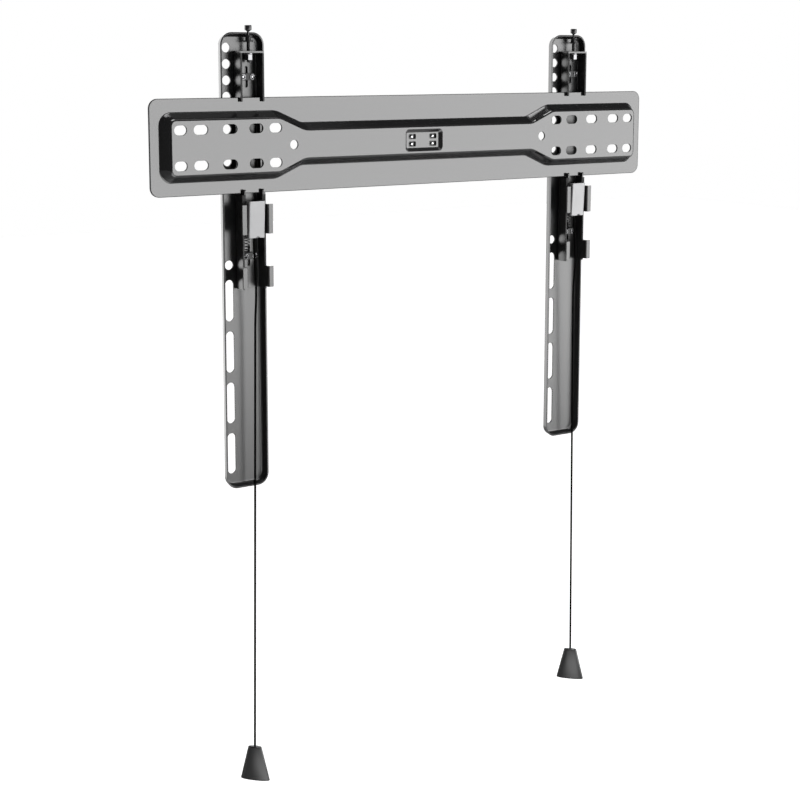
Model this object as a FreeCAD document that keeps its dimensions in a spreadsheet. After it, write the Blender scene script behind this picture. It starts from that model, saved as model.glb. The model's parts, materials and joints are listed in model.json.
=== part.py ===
"""Fixed television wall bracket: pressed wall plate, two arms that hook on it, cord-released latches.

Frame: +X along the plate, +Y from the wall towards the television, +Z up. The origin is the
middle of the wall plate on the plane of the wall. Sizes are millimetres.
"""
import FreeCAD, Part
import math
import os
import Sketcher

DOC = FreeCAD.newDocument("tv_wall_bracket")
SHEET = DOC.addObject("Spreadsheet::Sheet", "Sizes")

# Driving sizes of the bracket: alias and millimetres, or degrees where the name says so
SIZES = [
    # Wall plate
    ("plate_length", 600.0),
    ("plate_height", 90.0),
    ("plate_sheet", 2.0),
    ("plate_corner", 9.0),
    ("press_depth", 10.4),
    ("press_end_rim", 10.0),
    ("press_side_rim", 13.0),
    ("press_run", 6.0),
    ("press_waist", 28.0),
    ("press_waist_reach", 140.0),
    ("press_shoulder_reach", 168.0),
    ("press_end_round", 6.0),
    ("press_shoulder_round", 14.0),
    ("press_bend", 3.0),
    # Holes of the wall plate
    ("wall_hole", 9.0),
    ("wall_row_spacing", 32.8),
    ("wall_single_reach", 152.6),
    ("wall_slot_one_reach", 172.8),
    ("wall_slot_one_length", 13.7),
    ("wall_slot_two_reach", 194.0),
    ("wall_slot_two_length", 15.0),
    ("wall_slot_three_reach", 222.0),
    ("wall_slot_three_length", 15.5),
    ("wall_slot_four_reach", 252.6),
    ("wall_slot_four_length", 15.0),
    ("wall_slot_five_reach", 273.6),
    ("wall_slot_five_length", 13.1),
    # Level in the middle of the plate
    ("level_pocket_length", 45.8),
    ("level_pocket_height", 22.2),
    ("level_pocket_depth", 3.0),
    ("level_pocket_draft", 3.4),
    ("level_pin_spacing", 25.4),
    ("level_pin_rows", 7.4),
    ("level_slot_length", 8.7),
    ("level_slot_height", 5.0),
    ("level_slot_corner", 1.2),
    ("level_body_length", 38.0),
    ("level_body_height", 14.0),
    ("level_body_depth", 6.6),
    ("level_corner", 1.2),
    ("level_floor", 1.2),
    ("level_pin", 3.6),
    ("level_pin_dome", 1.4),
    ("level_pin_root", 0.9),
    ("level_vial", 5.0),
    ("level_vial_gap", 0.2),
    ("level_vial_length", 31.0),
    # Arms
    ("arm_spacing", 400.0),
    ("hook_offset", 6.7),
    ("hole_offset", 13.5),
    ("rail_width", 43.0),
    ("rail_top", 103.5),
    ("rail_bottom", 330.0),
    ("rail_depth", 9.0),
    ("rail_splay", 2.0),
    ("rail_sheet", 1.6),
    ("rail_corner", 10.0),
    ("rail_bend", 3.2),
    ("rail_front", 14.0),
    ("rail_hole", 9.0),
    ("rail_hole_pitch", 15.2),
    ("rail_hole_count", 8),
    ("rail_first_hole", 91.2),
    ("rail_lone_hole", 114.0),
    ("rail_slot_length", 40.0),
    ("rail_slot_pitch", 50.0),
    ("rail_slot_count", 4),
    ("rail_first_slot", 148.3),
    # Carriage that hooks on the plate
    ("slide_gap", 0.3),
    ("seat_gap", 0.2),
    ("carriage_width", 25.4),
    ("carriage_sheet", 1.8),
    ("carriage_top", 88.1),
    ("carriage_bottom", 137.0),
    ("carriage_front", 7.3),
    ("carriage_bend", 2.2),
    ("behind_plate_gap", 0.6),
    ("hook_reach", 4.0),
    ("hook_round", 1.2),
    ("foot_front", 0.4),
    ("foot_lip", 3.9),
    ("upper_foot_top", 55.4),
    ("upper_foot_bottom", 83.7),
    ("lower_foot_top", 114.8),
    ("lower_foot_bottom", 135.0),
    ("below_plate_gap", 1.6),
    # Height guides between rail and carriage
    ("guide_slot_width", 3.3),
    ("guide_slot_length", 20.0),
    ("upper_guide_height", 64.0),
    ("lower_guide_height", 105.8),
    ("stud_head", 5.6),
    ("stud_head_height", 1.2),
    ("strap_length", 17.0),
    ("strap_height", 6.4),
    ("strap_sheet", 1.2),
    ("strap_rivet_spacing", 10.0),
    ("strap_rivet_shank", 2.8),
    ("strap_rivet_head", 5.4),
    ("rivet_gap", 0.05),
    ("rivet_spacer", 3.8),
    ("rivet_head_height", 0.8),
    ("rivet_dimple", 2.6),
    ("spring_seat_reach", 8.0),
    ("spring_seat_side", 1.6),
    ("strap_end_round", 1.6),
    # Height screw
    ("screw_depth", 14.6),
    ("screw_shank", 3.4),
    ("screw_neck", 2.4),
    ("screw_head", 7.0),
    ("screw_head_height", 4.8),
    ("screw_top", 112.0),
    ("screw_tip", 77.4),
    ("notch_gap", 0.3),
    ("screw_hole_gap", 0.4),
    ("collar_flange", 8.6),
    ("collar_height", 6.0),
    ("collar_lip", 1.4),
    ("collar_waist", 5.6),
    ("collar_drop", 1.0),
    ("collar_gap", 0.02),
    ("nut_flange", 9.0),
    ("nut_flange_sheet", 1.6),
    ("nut_hexagon", 7.0),
    ("nut_height", 5.0),
    ("thread_gap", 0.05),
    # Latch under the plate
    ("latch_gap", 0.25),
    ("latch_sheet", 1.5),
    ("latch_front", 7.5),
    ("latch_bottom", 87.6),
    ("latch_flange_front", 5.0),
    ("latch_relief", 1.45),
    ("latch_reach", 3.6),
    ("latch_prong", 3.9),
    ("latch_prong_round", 1.4),
    ("latch_shoulder", 50.5),
    ("latch_travel", 6.0),
    ("latch_pin_height", 66.0),
    ("latch_pin_shank", 4.0),
    ("latch_pin_head", 8.0),
    ("latch_pin_head_height", 1.5),
    ("latch_bend", 1.9),
    ("cover_top", 52.3),
    ("cover_lift", 0.1),
    ("cover_front", 1.0),
    ("cover_sheet", 0.9),
    ("cover_side", 9.0),
    ("cover_bend", 1.5),
    ("cover_notch", 5.6),
    ("cover_notch_rise", 1.4),
    ("cover_notch_offset", 1.3),
    ("cover_tilt_degrees", 3.0),
    ("spring_coil", 5.2),
    ("spring_wire", 0.8),
    ("spring_turns", 5.0),
    ("spring_offset", 4.6),
    ("spring_depth", 13.2),
    # Release cord and pull tab
    ("cord_thickness", 2.2),
    ("cord_exit_depth", 8.5),
    ("cord_stop", 4.4),
    ("cord_stop_height", 4.0),
    ("cord_hole_gap", 0.3),
    ("left_tab_top", 599.5),
    ("right_tab_top", 583.0),
    ("left_tab_lean", -4.0),
    ("right_tab_lean", 9.0),
    ("tab_depth", 12.4),
    ("tab_top_width", 13.8),
    ("tab_top_thickness", 6.0),
    ("tab_bottom_width", 31.0),
    ("tab_bottom_thickness", 8.6),
    ("tab_height", 35.0),
    ("tab_edge", 0.9),
    ("tab_turn_degrees", 50.0),
]
for row, (alias, value) in enumerate(SIZES, start=1):
    SHEET.set(f"A{row}", alias)
    SHEET.set(f"B{row}", str(value))
    SHEET.setAlias(f"B{row}", alias)
DOC.recompute()


def size(alias):
    """Return one driving size as a number."""
    return float(getattr(SHEET, alias))


def cell(text):
    """Return an expression in which each {alias} is read from the sheet."""
    return text.replace("{", "Sizes.").replace("}", "")


# Bodies, sketches and features


def new_body(name, x="0", y="0", z="0"):
    """Add one body whose place is bound to the sheet."""
    body = DOC.addObject("PartDesign::Body", name)
    body.Label = name
    for axis, text in (("x", x), ("y", y), ("z", z)):
        body.setExpression(f"Placement.Base.{axis}", cell(text))
    return body


def new_sketch(body, name, plane, offset="0"):
    """Add a sketch on an origin plane of the body, moved along the frame's axis by offset."""
    sketch = body.newObject("Sketcher::SketchObject", f"{body.Name}_{name}")
    base = next(item for item in body.Origin.OriginFeatures if item.Role == f"{plane}_Plane")
    sketch.AttachmentSupport = (base, [""])
    sketch.MapMode = "FlatFace"
    sign = "-1 * " if plane == "XZ" else ""
    sketch.setExpression("AttachmentOffset.Base.z", cell(f"{sign}({offset})"))
    return sketch


def number(owner, text):
    """Work out an expression as a plain number."""
    value = owner.evalExpression(cell(text))
    return float(getattr(value, "Value", value))


def bind(sketch, kind, places, text):
    """Add one sketch constraint whose value follows an expression."""
    index = sketch.addConstraint(Sketcher.Constraint(kind, *places, number(sketch, text)))
    sketch.setExpression(f"Constraints[{index}]", cell(text))


def place_point(sketch, item, point, across, up):
    """Hold one point of a sketch item at expressions across and up from the origin."""
    bind(sketch, "DistanceX", (-1, 1, item, point), across)
    bind(sketch, "DistanceY", (-1, 1, item, point), up)


def polygon(sketch, corners):
    """Draw a closed outline through corners given as pairs of expressions."""
    points = [FreeCAD.Vector(number(sketch, a), number(sketch, b), 0) for a, b in corners]
    first = sketch.GeometryCount
    count = len(points)
    for index in range(count):
        sketch.addGeometry(Part.LineSegment(points[index], points[(index + 1) % count]), False)
    for index in range(count):
        following = first + (index + 1) % count
        sketch.addConstraint(Sketcher.Constraint("Coincident", first + index, 2, following, 1))
    for index, (across, up) in enumerate(corners):
        place_point(sketch, first + index, 1, across, up)


def circle(sketch, across, up, diameter):
    """Draw one circle."""
    centre = FreeCAD.Vector(number(sketch, across), number(sketch, up), 0)
    radius = number(sketch, diameter) / 2
    index = sketch.addGeometry(Part.Circle(centre, FreeCAD.Vector(0, 0, 1), radius), False)
    place_point(sketch, index, 3, across, up)
    bind(sketch, "Diameter", (index,), diameter)


def upright_slot(sketch, across, up, width, length):
    """Draw one round-ended slot that stands upright."""
    reach = f"(({length}) - ({width})) / 2"
    x, z = number(sketch, across), number(sketch, up)
    r, h = number(sketch, width) / 2, number(sketch, reach)
    normal = FreeCAD.Vector(0, 0, 1)
    top = Part.Circle(FreeCAD.Vector(x, z + h, 0), normal, r)
    low = Part.Circle(FreeCAD.Vector(x, z - h, 0), normal, r)
    corners = [FreeCAD.Vector(x + i * r, z + j * h, 0) for i, j in ((-1, -1), (-1, 1), (1, 1), (1, -1))]
    left = sketch.addGeometry(Part.LineSegment(corners[0], corners[1]))
    upper = sketch.addGeometry(Part.ArcOfCircle(top, 0, math.pi))
    right = sketch.addGeometry(Part.LineSegment(corners[2], corners[3]))
    lower = sketch.addGeometry(Part.ArcOfCircle(low, math.pi, 2 * math.pi))
    meetings = ((left, 2, upper, 2), (upper, 1, right, 1), (right, 2, lower, 2), (lower, 1, left, 1))
    for one, end, other, start in meetings:
        sketch.addConstraint(Sketcher.Constraint("Tangent", one, end, other, start))
    sketch.addConstraint(Sketcher.Constraint("Equal", upper, lower))
    bind(sketch, "Diameter", (upper,), width)
    place_point(sketch, upper, 3, across, f"({up}) + {reach}")
    place_point(sketch, lower, 3, across, f"({up}) - {reach}")


def rectangle(x0, x1, z0, z1):
    """Return the four corners of a rectangle as expressions."""
    return [(x0, z0), (x1, z0), (x1, z1), (x0, z1)]


def pad(body, sketch, length, backwards=False, middle=False):
    """Add material from a sketch."""
    feature = body.newObject("PartDesign::Pad", f"{sketch.Name}_pad")
    feature.Profile = sketch
    feature.Reversed = backwards
    feature.Midplane = middle
    feature.setExpression("Length", cell(length))
    body.Tip = feature
    DOC.recompute()
    return feature


def pocket(body, sketch, length, backwards=False, middle=False):
    """Cut material away under a sketch, and see that something was cut."""
    before = body.Shape.Volume
    feature = body.newObject("PartDesign::Pocket", f"{sketch.Name}_cut")
    feature.Profile = sketch
    feature.Reversed = backwards
    feature.Midplane = middle
    feature.setExpression("Length", cell(length))
    body.Tip = feature
    DOC.recompute()
    if not body.Shape.Volume < before:
        raise RuntimeError(f"{feature.Name} cuts nothing")
    return feature


def turn(body, sketch):
    """Revolve a sketch about the frame's upright axis through the body's origin."""
    feature = body.newObject("PartDesign::Revolution", f"{sketch.Name}_turned")
    feature.Profile = sketch
    feature.ReferenceAxis = (sketch, ["V_Axis"])
    feature.Angle = 360
    body.Tip = feature
    DOC.recompute()
    return feature


def round_edges(body, name, radius, chosen):
    """Round the edges of the body's last feature that the test picks."""
    last = body.Tip
    names = [f"Edge{i}" for i, edge in enumerate(last.Shape.Edges, start=1) if chosen(edge)]
    if not names:
        raise RuntimeError(f"{body.Name} has no edge for {name}")
    feature = body.newObject("PartDesign::Fillet", f"{body.Name}_{name}")
    feature.Base = (last, names)
    feature.setExpression("Radius", cell(radius))
    body.Tip = feature
    DOC.recompute()
    return feature


def runs_along(edge, axis):
    """Tell whether an edge is straight and lies along one axis of the frame."""
    if not isinstance(edge.Curve, Part.Line):
        return False
    return abs(abs(edge.Curve.Direction.dot(axis)) - 1) < 1e-6


def near(value, target):
    """Tell whether two lengths are the same to a hundredth of a millimetre."""
    return abs(value - target) < 0.01


UPRIGHT = FreeCAD.Vector(0, 0, 1)
ALONG = FreeCAD.Vector(1, 0, 0)
INWARD = FreeCAD.Vector(0, 1, 0)

# Depths and heights that several pieces share, as expressions
PLATE_BACK = "({press_depth} + {plate_sheet})"
PLATE_EDGE = "({plate_height} / 2)"
RAIL_BACK = "({rail_front} + {rail_depth})"
RAIL_WEB = f"({RAIL_BACK} - {{rail_sheet}})"
CARRIAGE_BACK = f"({RAIL_WEB} - {{slide_gap}})"
CARRIAGE_WEB = f"({CARRIAGE_BACK} - {{carriage_sheet}})"
CARRIAGE_INSIDE = "({carriage_width} / 2 - {carriage_sheet})"
HOOK_BACK = "({press_depth} - {slide_gap})"
LATCH_BACK = f"({CARRIAGE_WEB} - {{latch_gap}})"
LATCH_WEB = f"({LATCH_BACK} - {{latch_sheet}})"
LATCH_OUTSIDE = f"({CARRIAGE_INSIDE} - {{latch_gap}})"
LATCH_INSIDE = f"({LATCH_OUTSIDE} - {{latch_sheet}})"
STUD_FRONT = f"({CARRIAGE_WEB} - {{slide_gap}} - {{stud_head_height}})"
STRAP_BACK = f"({STUD_FRONT} - {{slide_gap}})"
STRAP_FRONT = f"({STRAP_BACK} - {{strap_sheet}})"
COLLAR_TOP = "({rail_top} - {collar_drop})"
FLANGE_UNDER = "({carriage_top} - {carriage_sheet})"
LATCH_TOP = f"({PLATE_EDGE} + {{slide_gap}})"
LATCH_FLOOR = "({latch_bottom} - {latch_sheet})"
SEAT_RISE = "({strap_rivet_head} / 2 + {seat_gap} + {strap_sheet})"
SPRING_SEAT = f"({{lower_guide_height}} - {SEAT_RISE})"
COVER_LENGTH = "({latch_bottom} - {cover_top} - {cover_lift})"


# Pressed sheet: rounded outlines that are offset, lofted and cut


def offset_corners(corners, distance):
    """Move each side of a closed polygon outwards by a distance, whichever way it runs."""
    count = len(corners)
    area = sum(corners[i][0] * corners[(i + 1) % count][1] - corners[(i + 1) % count][0] * corners[i][1]
               for i in range(count))
    side = 1.0 if area > 0 else -1.0
    moved = []
    for i in range(count):
        (ax, az), (bx, bz), (cx, cz) = corners[i - 1], corners[i], corners[(i + 1) % count]
        ux, uz = unit(bx - ax, bz - az)
        vx, vz = unit(cx - bx, cz - bz)
        nx, nz = uz * side, -ux * side
        mx, mz = vz * side, -vx * side
        scale = distance / (1 + nx * mx + nz * mz)
        moved.append((bx + (nx + mx) * scale, bz + (nz + mz) * scale))
    return moved


def unit(x, z):
    """Scale a direction to a length of one."""
    length = math.hypot(x, z)
    return x / length, z / length


def rounded_wire(corners, rounds, depth):
    """Return the closed wire through corners at one depth, each corner an arc of its own radius."""
    edges = []
    starts, ends, middles = [], [], []
    count = len(corners)
    for i in range(count):
        (ax, az), (bx, bz), (cx, cz) = corners[i - 1], corners[i], corners[(i + 1) % count]
        ux, uz = unit(ax - bx, az - bz)
        vx, vz = unit(cx - bx, cz - bz)
        half = math.acos(max(-1.0, min(1.0, ux * vx + uz * vz))) / 2
        reach = rounds[i] / math.tan(half)
        starts.append((bx + ux * reach, bz + uz * reach))
        ends.append((bx + vx * reach, bz + vz * reach))
        wx, wz = unit(ux + vx, uz + vz)
        gap = rounds[i] / math.sin(half) - rounds[i]
        middles.append((bx + wx * gap, bz + wz * gap))
    for i in range(count):
        places = (starts[i], middles[i], ends[i], starts[(i + 1) % count])
        point = [FreeCAD.Vector(x, depth, z) for x, z in places]
        edges.append(Part.Arc(point[0], point[1], point[2]).toShape())
        edges.append(Part.LineSegment(point[2], point[3]).toShape())
    return Part.Wire(edges)


def pressed_block(outline, near_depth, near_offset, far_depth, far_offset):
    """Loft a block between two offsets of one rounded outline."""
    return Part.makeLoft([outline(near_offset, near_depth), outline(far_offset, far_depth)], True, True)


def bone_outline(offset, depth):
    """Return the outline of the pressed field, wide at its ends and narrow at its waist."""
    run = size("press_run")
    end = size("plate_length") / 2 - size("press_end_rim") - run
    wide = size("plate_height") / 2 - size("press_side_rim") - run
    waist = size("press_waist") / 2
    neck, shoulder = size("press_waist_reach"), size("press_shoulder_reach")
    quarter = [(end, wide), (shoulder, wide), (neck, waist)]
    top = quarter + [(-x, z) for x, z in reversed(quarter)]
    corners = top + [(-x, -z) for x, z in top]
    sharp, soft = size("press_end_round") + offset, size("press_shoulder_round")
    part = [sharp, soft + offset, soft + run - offset]
    rounds = (part + part[::-1]) * 2
    return rounded_wire(offset_corners(corners, offset), rounds, depth)


def box_outline(half_length, low, high, corner):
    """Return a function that gives a rounded rectangle offset at a depth."""
    def outline(offset, depth):
        corners = [(half_length, high), (-half_length, high), (-half_length, low), (half_length, low)]
        return rounded_wire(offset_corners(corners, offset), [corner + offset] * 4, depth)
    return outline


def flat_block(wire, depth):
    """Thicken a flat wire towards the television."""
    return Part.Face(wire).extrude(FreeCAD.Vector(0, depth, 0))


def bore(x, z, diameter, start, depth):
    """Return a round cutter along the depth axis."""
    return Part.makeCylinder(diameter / 2, depth, FreeCAD.Vector(x, start, z), INWARD)


def slot_cutter(x, z, width, length, start, depth, upright):
    """Return a round-ended cutter along the depth axis."""
    reach = (length - width) / 2
    dx, dz = (0, reach) if upright else (reach, 0)
    ends = [bore(x + dx, z + dz, width, start, depth), bore(x - dx, z - dz, width, start, depth)]
    wide, high = (width, 2 * reach) if upright else (2 * reach, width)
    corner = FreeCAD.Vector(x - wide / 2, start, z - high / 2)
    return Part.makeBox(wide, depth, high, corner).fuse(ends)


def edges_round_depth(shape, depth, inside=None):
    """Return the edges of a shape that lie wholly at one depth, but not those round holes."""
    found = []
    for edge in shape.Edges:
        box = edge.BoundBox
        if near(box.YMin, depth) and near(box.YMax, depth) and (inside is None or inside(box)):
            found.append(edge)
    return found


def add_shape(name, shape, x="0"):
    """Put a finished shape in the document as a sub-part."""
    part = DOC.addObject("Part::Feature", name)
    part.Label = name
    part.Shape = shape
    part.setExpression("Placement.Base.x", cell(x))
    return part


def wall_slots():
    """Return each column of wall holes: its reach from the middle, slot length and row heights."""
    row = size("wall_row_spacing") / 2
    columns = [(size("wall_single_reach"), size("wall_hole"), (0.0,))]
    for word in ("one", "two", "three", "four", "five"):
        reach, length = size(f"wall_slot_{word}_reach"), size(f"wall_slot_{word}_length")
        columns.append((reach, length, (row, -row)))
    return columns


def make_wall_plate():
    """Press the plate: a rim, a raised field with sloping walls, a level pocket and wall holes."""
    sheet, depth, run = size("plate_sheet"), size("press_depth"), size("press_run")
    back = depth + sheet
    half_length, half_height = size("plate_length") / 2, size("plate_height") / 2
    rim = flat_block(box_outline(half_length, -half_height, half_height, size("plate_corner"))(0, depth), sheet)
    boss = pressed_block(bone_outline, 0, 0, depth, run)
    slope = run / depth
    wall = sheet * math.hypot(1, slope)
    hollow = pressed_block(bone_outline, sheet, slope * sheet - wall, back, slope * back - wall)
    plate = rim.fuse(boss).cut(hollow).removeSplitter()
    bend = size("press_bend")
    outer = edges_round_depth(plate, 0)
    inner = edges_round_depth(plate, back, within_rim)
    plate = plate.makeFillet(bend, outer + inner)
    foot = edges_round_depth(plate, depth, within_rim)
    floor = edges_round_depth(plate, sheet)
    plate = plate.makeFillet(bend - sheet * 0.75, foot + floor)
    plate = plate.fuse(level_pocket(sheet)).cut(level_pocket(0.0))
    cutters = []
    for reach, length, rows in wall_slots():
        for z in rows:
            for x in (-reach, reach):
                cutters.append(wall_cutter(x, z, length, back))
    for x, z in level_pins():
        cutters.append(level_slot(x, z))
    plate = plate.cut(cutters).removeSplitter()
    return add_shape("wall_plate", plate)


def level_pocket(wall):
    """Return the tapered form of the level pocket, thickened by a wall or bare for cutting."""
    length, height = size("level_pocket_length") / 2, size("level_pocket_height") / 2
    depth, draft = size("level_pocket_depth"), size("level_pocket_draft")
    outline = box_outline(length, -height, height, draft + 1.0)
    slope = draft / depth
    thick = wall * math.hypot(1, slope)
    start = wall / 2 if wall else -0.5
    end = depth + wall
    return pressed_block(outline, start, thick - slope * start, end, thick - slope * end)


def within_rim(box):
    """Tell whether an edge's box lies clear of the plate's own outline."""
    reach, height = size("plate_length") / 2 - 1, size("plate_height") / 2 - 1
    return max(abs(box.XMin), abs(box.XMax)) < reach and max(abs(box.ZMin), abs(box.ZMax)) < height


def wall_cutter(x, z, length, depth):
    """Return the cutter of one wall hole, round where it is as long as it is high."""
    hole = size("wall_hole")
    if length > hole:
        return slot_cutter(x, z, hole, length, -1, depth, False)
    return bore(x, z, length, -1, depth)


def level_pins():
    """Return the places of the level's four pins."""
    across, up = size("level_pin_spacing") / 2, size("level_pin_rows") / 2
    return [(x, z) for x in (-across, across) for z in (-up, up)]


def level_slot(x, z):
    """Return the cutter of the slot round one of the level's pins, in the pocket's floor."""
    length, height = size("level_slot_length") / 2, size("level_slot_height") / 2
    outline = box_outline(length, -height, height, size("level_slot_corner"))
    cutter = flat_block(outline(0, 0), size("level_pocket_depth") + size("plate_sheet") + 1)
    cutter.translate(FreeCAD.Vector(x, 0, z))
    return cutter


def make_rail(name, centre):
    """Press one rail: a shallow tray with splayed lips, screen holes, slots and a screw notch."""
    front, depth, splay = size("rail_front"), size("rail_depth"), size("rail_splay")
    sheet, back = size("rail_sheet"), size("rail_front") + size("rail_depth")
    outline = box_outline(size("rail_width") / 2, -size("rail_bottom"), size("rail_top"), size("rail_corner"))
    slope = splay / depth
    wall = sheet * math.hypot(1, slope)
    tray = pressed_block(outline, front, splay, back, 0)
    tray = tray.makeFillet(size("rail_bend"), edges_round_depth(tray, back))
    web = back - sheet
    hollow = pressed_block(outline, front - 1, slope * (depth + 1) - wall, web, slope * sheet - wall)
    hollow = hollow.makeFillet(size("rail_bend") - sheet * 0.75, edges_round_depth(hollow, web))
    tray = tray.cut(hollow)
    tray = tray.cut(lip_trim(outline, front, wall, slope))
    column = -size("hole_offset")
    hole = size("rail_hole")
    cutters = []
    for index in range(int(size("rail_hole_count"))):
        z = size("rail_first_hole") - index * size("rail_hole_pitch")
        cutters.append(bore(column, z, hole, web - 1, sheet + 2))
    cutters.append(bore(column, -size("rail_lone_hole"), hole, web - 1, sheet + 2))
    for index in range(int(size("rail_slot_count"))):
        z = -size("rail_first_slot") - index * size("rail_slot_pitch")
        cutters.append(slot_cutter(column, z, hole, size("rail_slot_length"), web - 1, sheet + 2, True))
    hook = size("hook_offset")
    shank = size("guide_slot_width") - 2 * size("slide_gap") + 2 * size("rivet_gap")
    for z in (size("upper_guide_height"), -size("lower_guide_height")):
        cutters.append(bore(hook, z, shank, web - 1, sheet + 2))
    notch = size("screw_neck") + 2 * size("notch_gap")
    tall = size("rail_top") - size("rail_corner")
    seat = size("screw_depth")
    cutters.append(Part.makeCylinder(notch / 2, 2 * size("rail_corner"), FreeCAD.Vector(hook, seat, tall)))
    cutters.append(Part.makeBox(notch, seat - front + 1, 2 * size("rail_corner"),
                                FreeCAD.Vector(hook - notch / 2, front - 1, tall)))
    tray = tray.cut(cutters).removeSplitter()
    return add_shape(name, tray, centre)


def lip_trim(outline, front, wall, slope):
    """Return the cutter that leaves the edge of a splayed lip square to the lip."""
    rise = wall * slope
    around = size("rail_splay") + 1
    outside = pressed_block(outline, front - 1, around, front + rise, around)
    inside = pressed_block(outline, front - 1, size("rail_splay") - wall - 1 / slope, front + rise, size("rail_splay"))
    return outside.cut(inside)


# Carriage, nut and height guides


def make_carriage(name, x):
    """Fold the carriage: a channel with hooks over the plate, feet on the wall and a top flange."""
    body = new_body(name, x)
    back, near_edge = CARRIAGE_BACK, "{carriage_front}"
    behind = f"({PLATE_BACK} + {{behind_plate_gap}})"
    seat, low = f"({PLATE_EDGE} + {{seat_gap}})", f"(-{PLATE_EDGE} - {{below_plate_gap}})"
    tip = f"({PLATE_EDGE} - {{hook_reach}})"
    side = new_sketch(body, "side", "YZ")
    polygon(side, [
        (back, "-{carriage_bottom}"), (back, "{carriage_top}"), (near_edge, "{carriage_top}"),
        (near_edge, tip), (HOOK_BACK, tip), (HOOK_BACK, seat), (behind, seat), (behind, low),
        (near_edge, low), (near_edge, "-{upper_foot_top}"), ("{foot_front}", "-{upper_foot_top}"),
        ("{foot_front}", "-{upper_foot_bottom}"), (near_edge, "-{upper_foot_bottom}"),
        (near_edge, "-{lower_foot_top}"), ("{foot_front}", "-{lower_foot_top}"),
        ("{foot_front}", "-{lower_foot_bottom}"), (near_edge, "-{lower_foot_bottom}"),
        (near_edge, "-{carriage_bottom}"),
    ])
    pad(body, side, "{carriage_width}", middle=True)
    lip = "({carriage_width} / 2 + {foot_lip})"
    for word in ("upper", "lower"):
        feet = new_sketch(body, f"{word}_feet", "XY", f"-{{{word}_foot_bottom}}")
        polygon(feet, rectangle(f"-{lip}", lip, "{foot_front}", "{foot_front} + {carriage_sheet}"))
        pad(body, feet, f"{{{word}_foot_bottom}} - {{{word}_foot_top}}")
    inside = new_sketch(body, "inside", "XZ")
    polygon(inside, rectangle(f"-{CARRIAGE_INSIDE}", CARRIAGE_INSIDE,
                              "-{carriage_bottom} - {carriage_sheet}", FLANGE_UNDER))
    pocket(body, inside, CARRIAGE_WEB)
    holes = new_sketch(body, "holes", "XZ", CARRIAGE_WEB)
    for height in ("{upper_guide_height}", "(-{lower_guide_height})"):
        upright_slot(holes, "0", height, "{guide_slot_width}", "{guide_slot_length}")
        for sign in ("-", ""):
            circle(holes, f"{sign}{{strap_rivet_spacing}} / 2", height, "{strap_rivet_shank}")
    circle(holes, "0", "-{latch_pin_height}", "{latch_pin_shank}")
    pocket(body, holes, "{carriage_sheet} * 2")
    top = new_sketch(body, "screw_hole", "XY", "{carriage_top}")
    circle(top, "0", "{screw_depth}", "{screw_shank} + 2 * {screw_hole_gap}")
    pocket(body, top, "{carriage_sheet} * 2")
    width, inner = worked_out("{carriage_width} / 2"), worked_out(CARRIAGE_INSIDE)
    foot = size("foot_front")
    fold = "{carriage_bend} - {carriage_sheet} * 0.8"
    round_edges(body, "back_bends", "{carriage_bend}", upright_at(width, worked_out(CARRIAGE_BACK)))
    round_edges(body, "inside_bends", fold, upright_at(inner, worked_out(CARRIAGE_WEB)))
    round_edges(body, "foot_bends", "{carriage_sheet} * 0.9", upright_at(inner, foot))
    round_edges(body, "foot_folds", fold, upright_at(width, foot + size("carriage_sheet")))
    height = worked_out(tip)
    round_edges(body, "hook_tips", "{hook_round}",
                lambda edge: runs_along(edge, ALONG) and near(edge.BoundBox.Center.z, height))


def upright_at(across, depth):
    """Return a test for upright edges at one depth, to the left and right of the middle."""
    def chosen(edge):
        centre = edge.BoundBox.Center
        return runs_along(edge, UPRIGHT) and near(abs(centre.x), across) and near(centre.y, depth)
    return chosen


def worked_out(text):
    """Work out a shared expression in millimetres."""
    return number(SHEET, text)


def make_nut(name, x):
    """Make the flanged nut under the carriage's top flange, with one flat towards the wall."""
    body = new_body(name, x, "{screw_depth}", FLANGE_UNDER)
    flange = new_sketch(body, "flange", "XY")
    circle(flange, "0", "0", "{nut_flange}")
    pad(body, flange, "{nut_flange_sheet}", backwards=True)
    hexagon = new_sketch(body, "hexagon", "XY")
    corner = "{nut_hexagon} / 2 / cos(30)"
    polygon(hexagon, [(f"{corner} * cos({turn})", f"{corner} * sin({turn})") for turn in range(0, 360, 60)])
    pad(body, hexagon, "{nut_flange_sheet} + {nut_height}", backwards=True)
    thread = new_sketch(body, "thread", "XY")
    circle(thread, "0", "0", "{screw_shank} + 2 * {thread_gap}")
    pocket(body, thread, "{nut_flange_sheet} * 2 + {nut_height} * 2")
    rim = size("nut_flange") / 2
    round_edges(body, "rim", "{nut_flange_sheet} / 5",
                lambda edge: edge.Closed and near(edge.BoundBox.XLength, 2 * rim))


def make_screw(name, x):
    """Turn the height screw: a shank, a neck that lies in the rail's notch and a knurled head."""
    body = new_body(name, x, "{screw_depth}")
    profile = new_sketch(body, "profile", "XZ")
    shank, neck, head = "{screw_shank} / 2", "{screw_neck} / 2", "{screw_head} / 2"
    edge = "{screw_head} / 10"
    polygon(profile, [
        ("0", "{screw_tip}"), (f"{shank} - {edge}", "{screw_tip}"), (shank, f"{{screw_tip}} + {edge}"),
        (shank, COLLAR_TOP), (neck, COLLAR_TOP), (neck, "{rail_top} + {rail_splay} + {notch_gap}"),
        (head, "{screw_top} - {screw_head_height}"), (head, f"{{screw_top}} - {edge}"),
        (f"{head} - {edge}", "{screw_top}"), ("0", "{screw_top}"),
    ])
    turn(body, profile)
    drive = new_sketch(body, "drive", "XY", "{screw_top}")
    half_wide, half_long = "{screw_neck} / 5", "{screw_head}"
    polygon(drive, rectangle(f"-{half_long}", half_long, f"-{half_wide}", half_wide))
    pocket(body, drive, "{screw_head_height} / 4")


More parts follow.
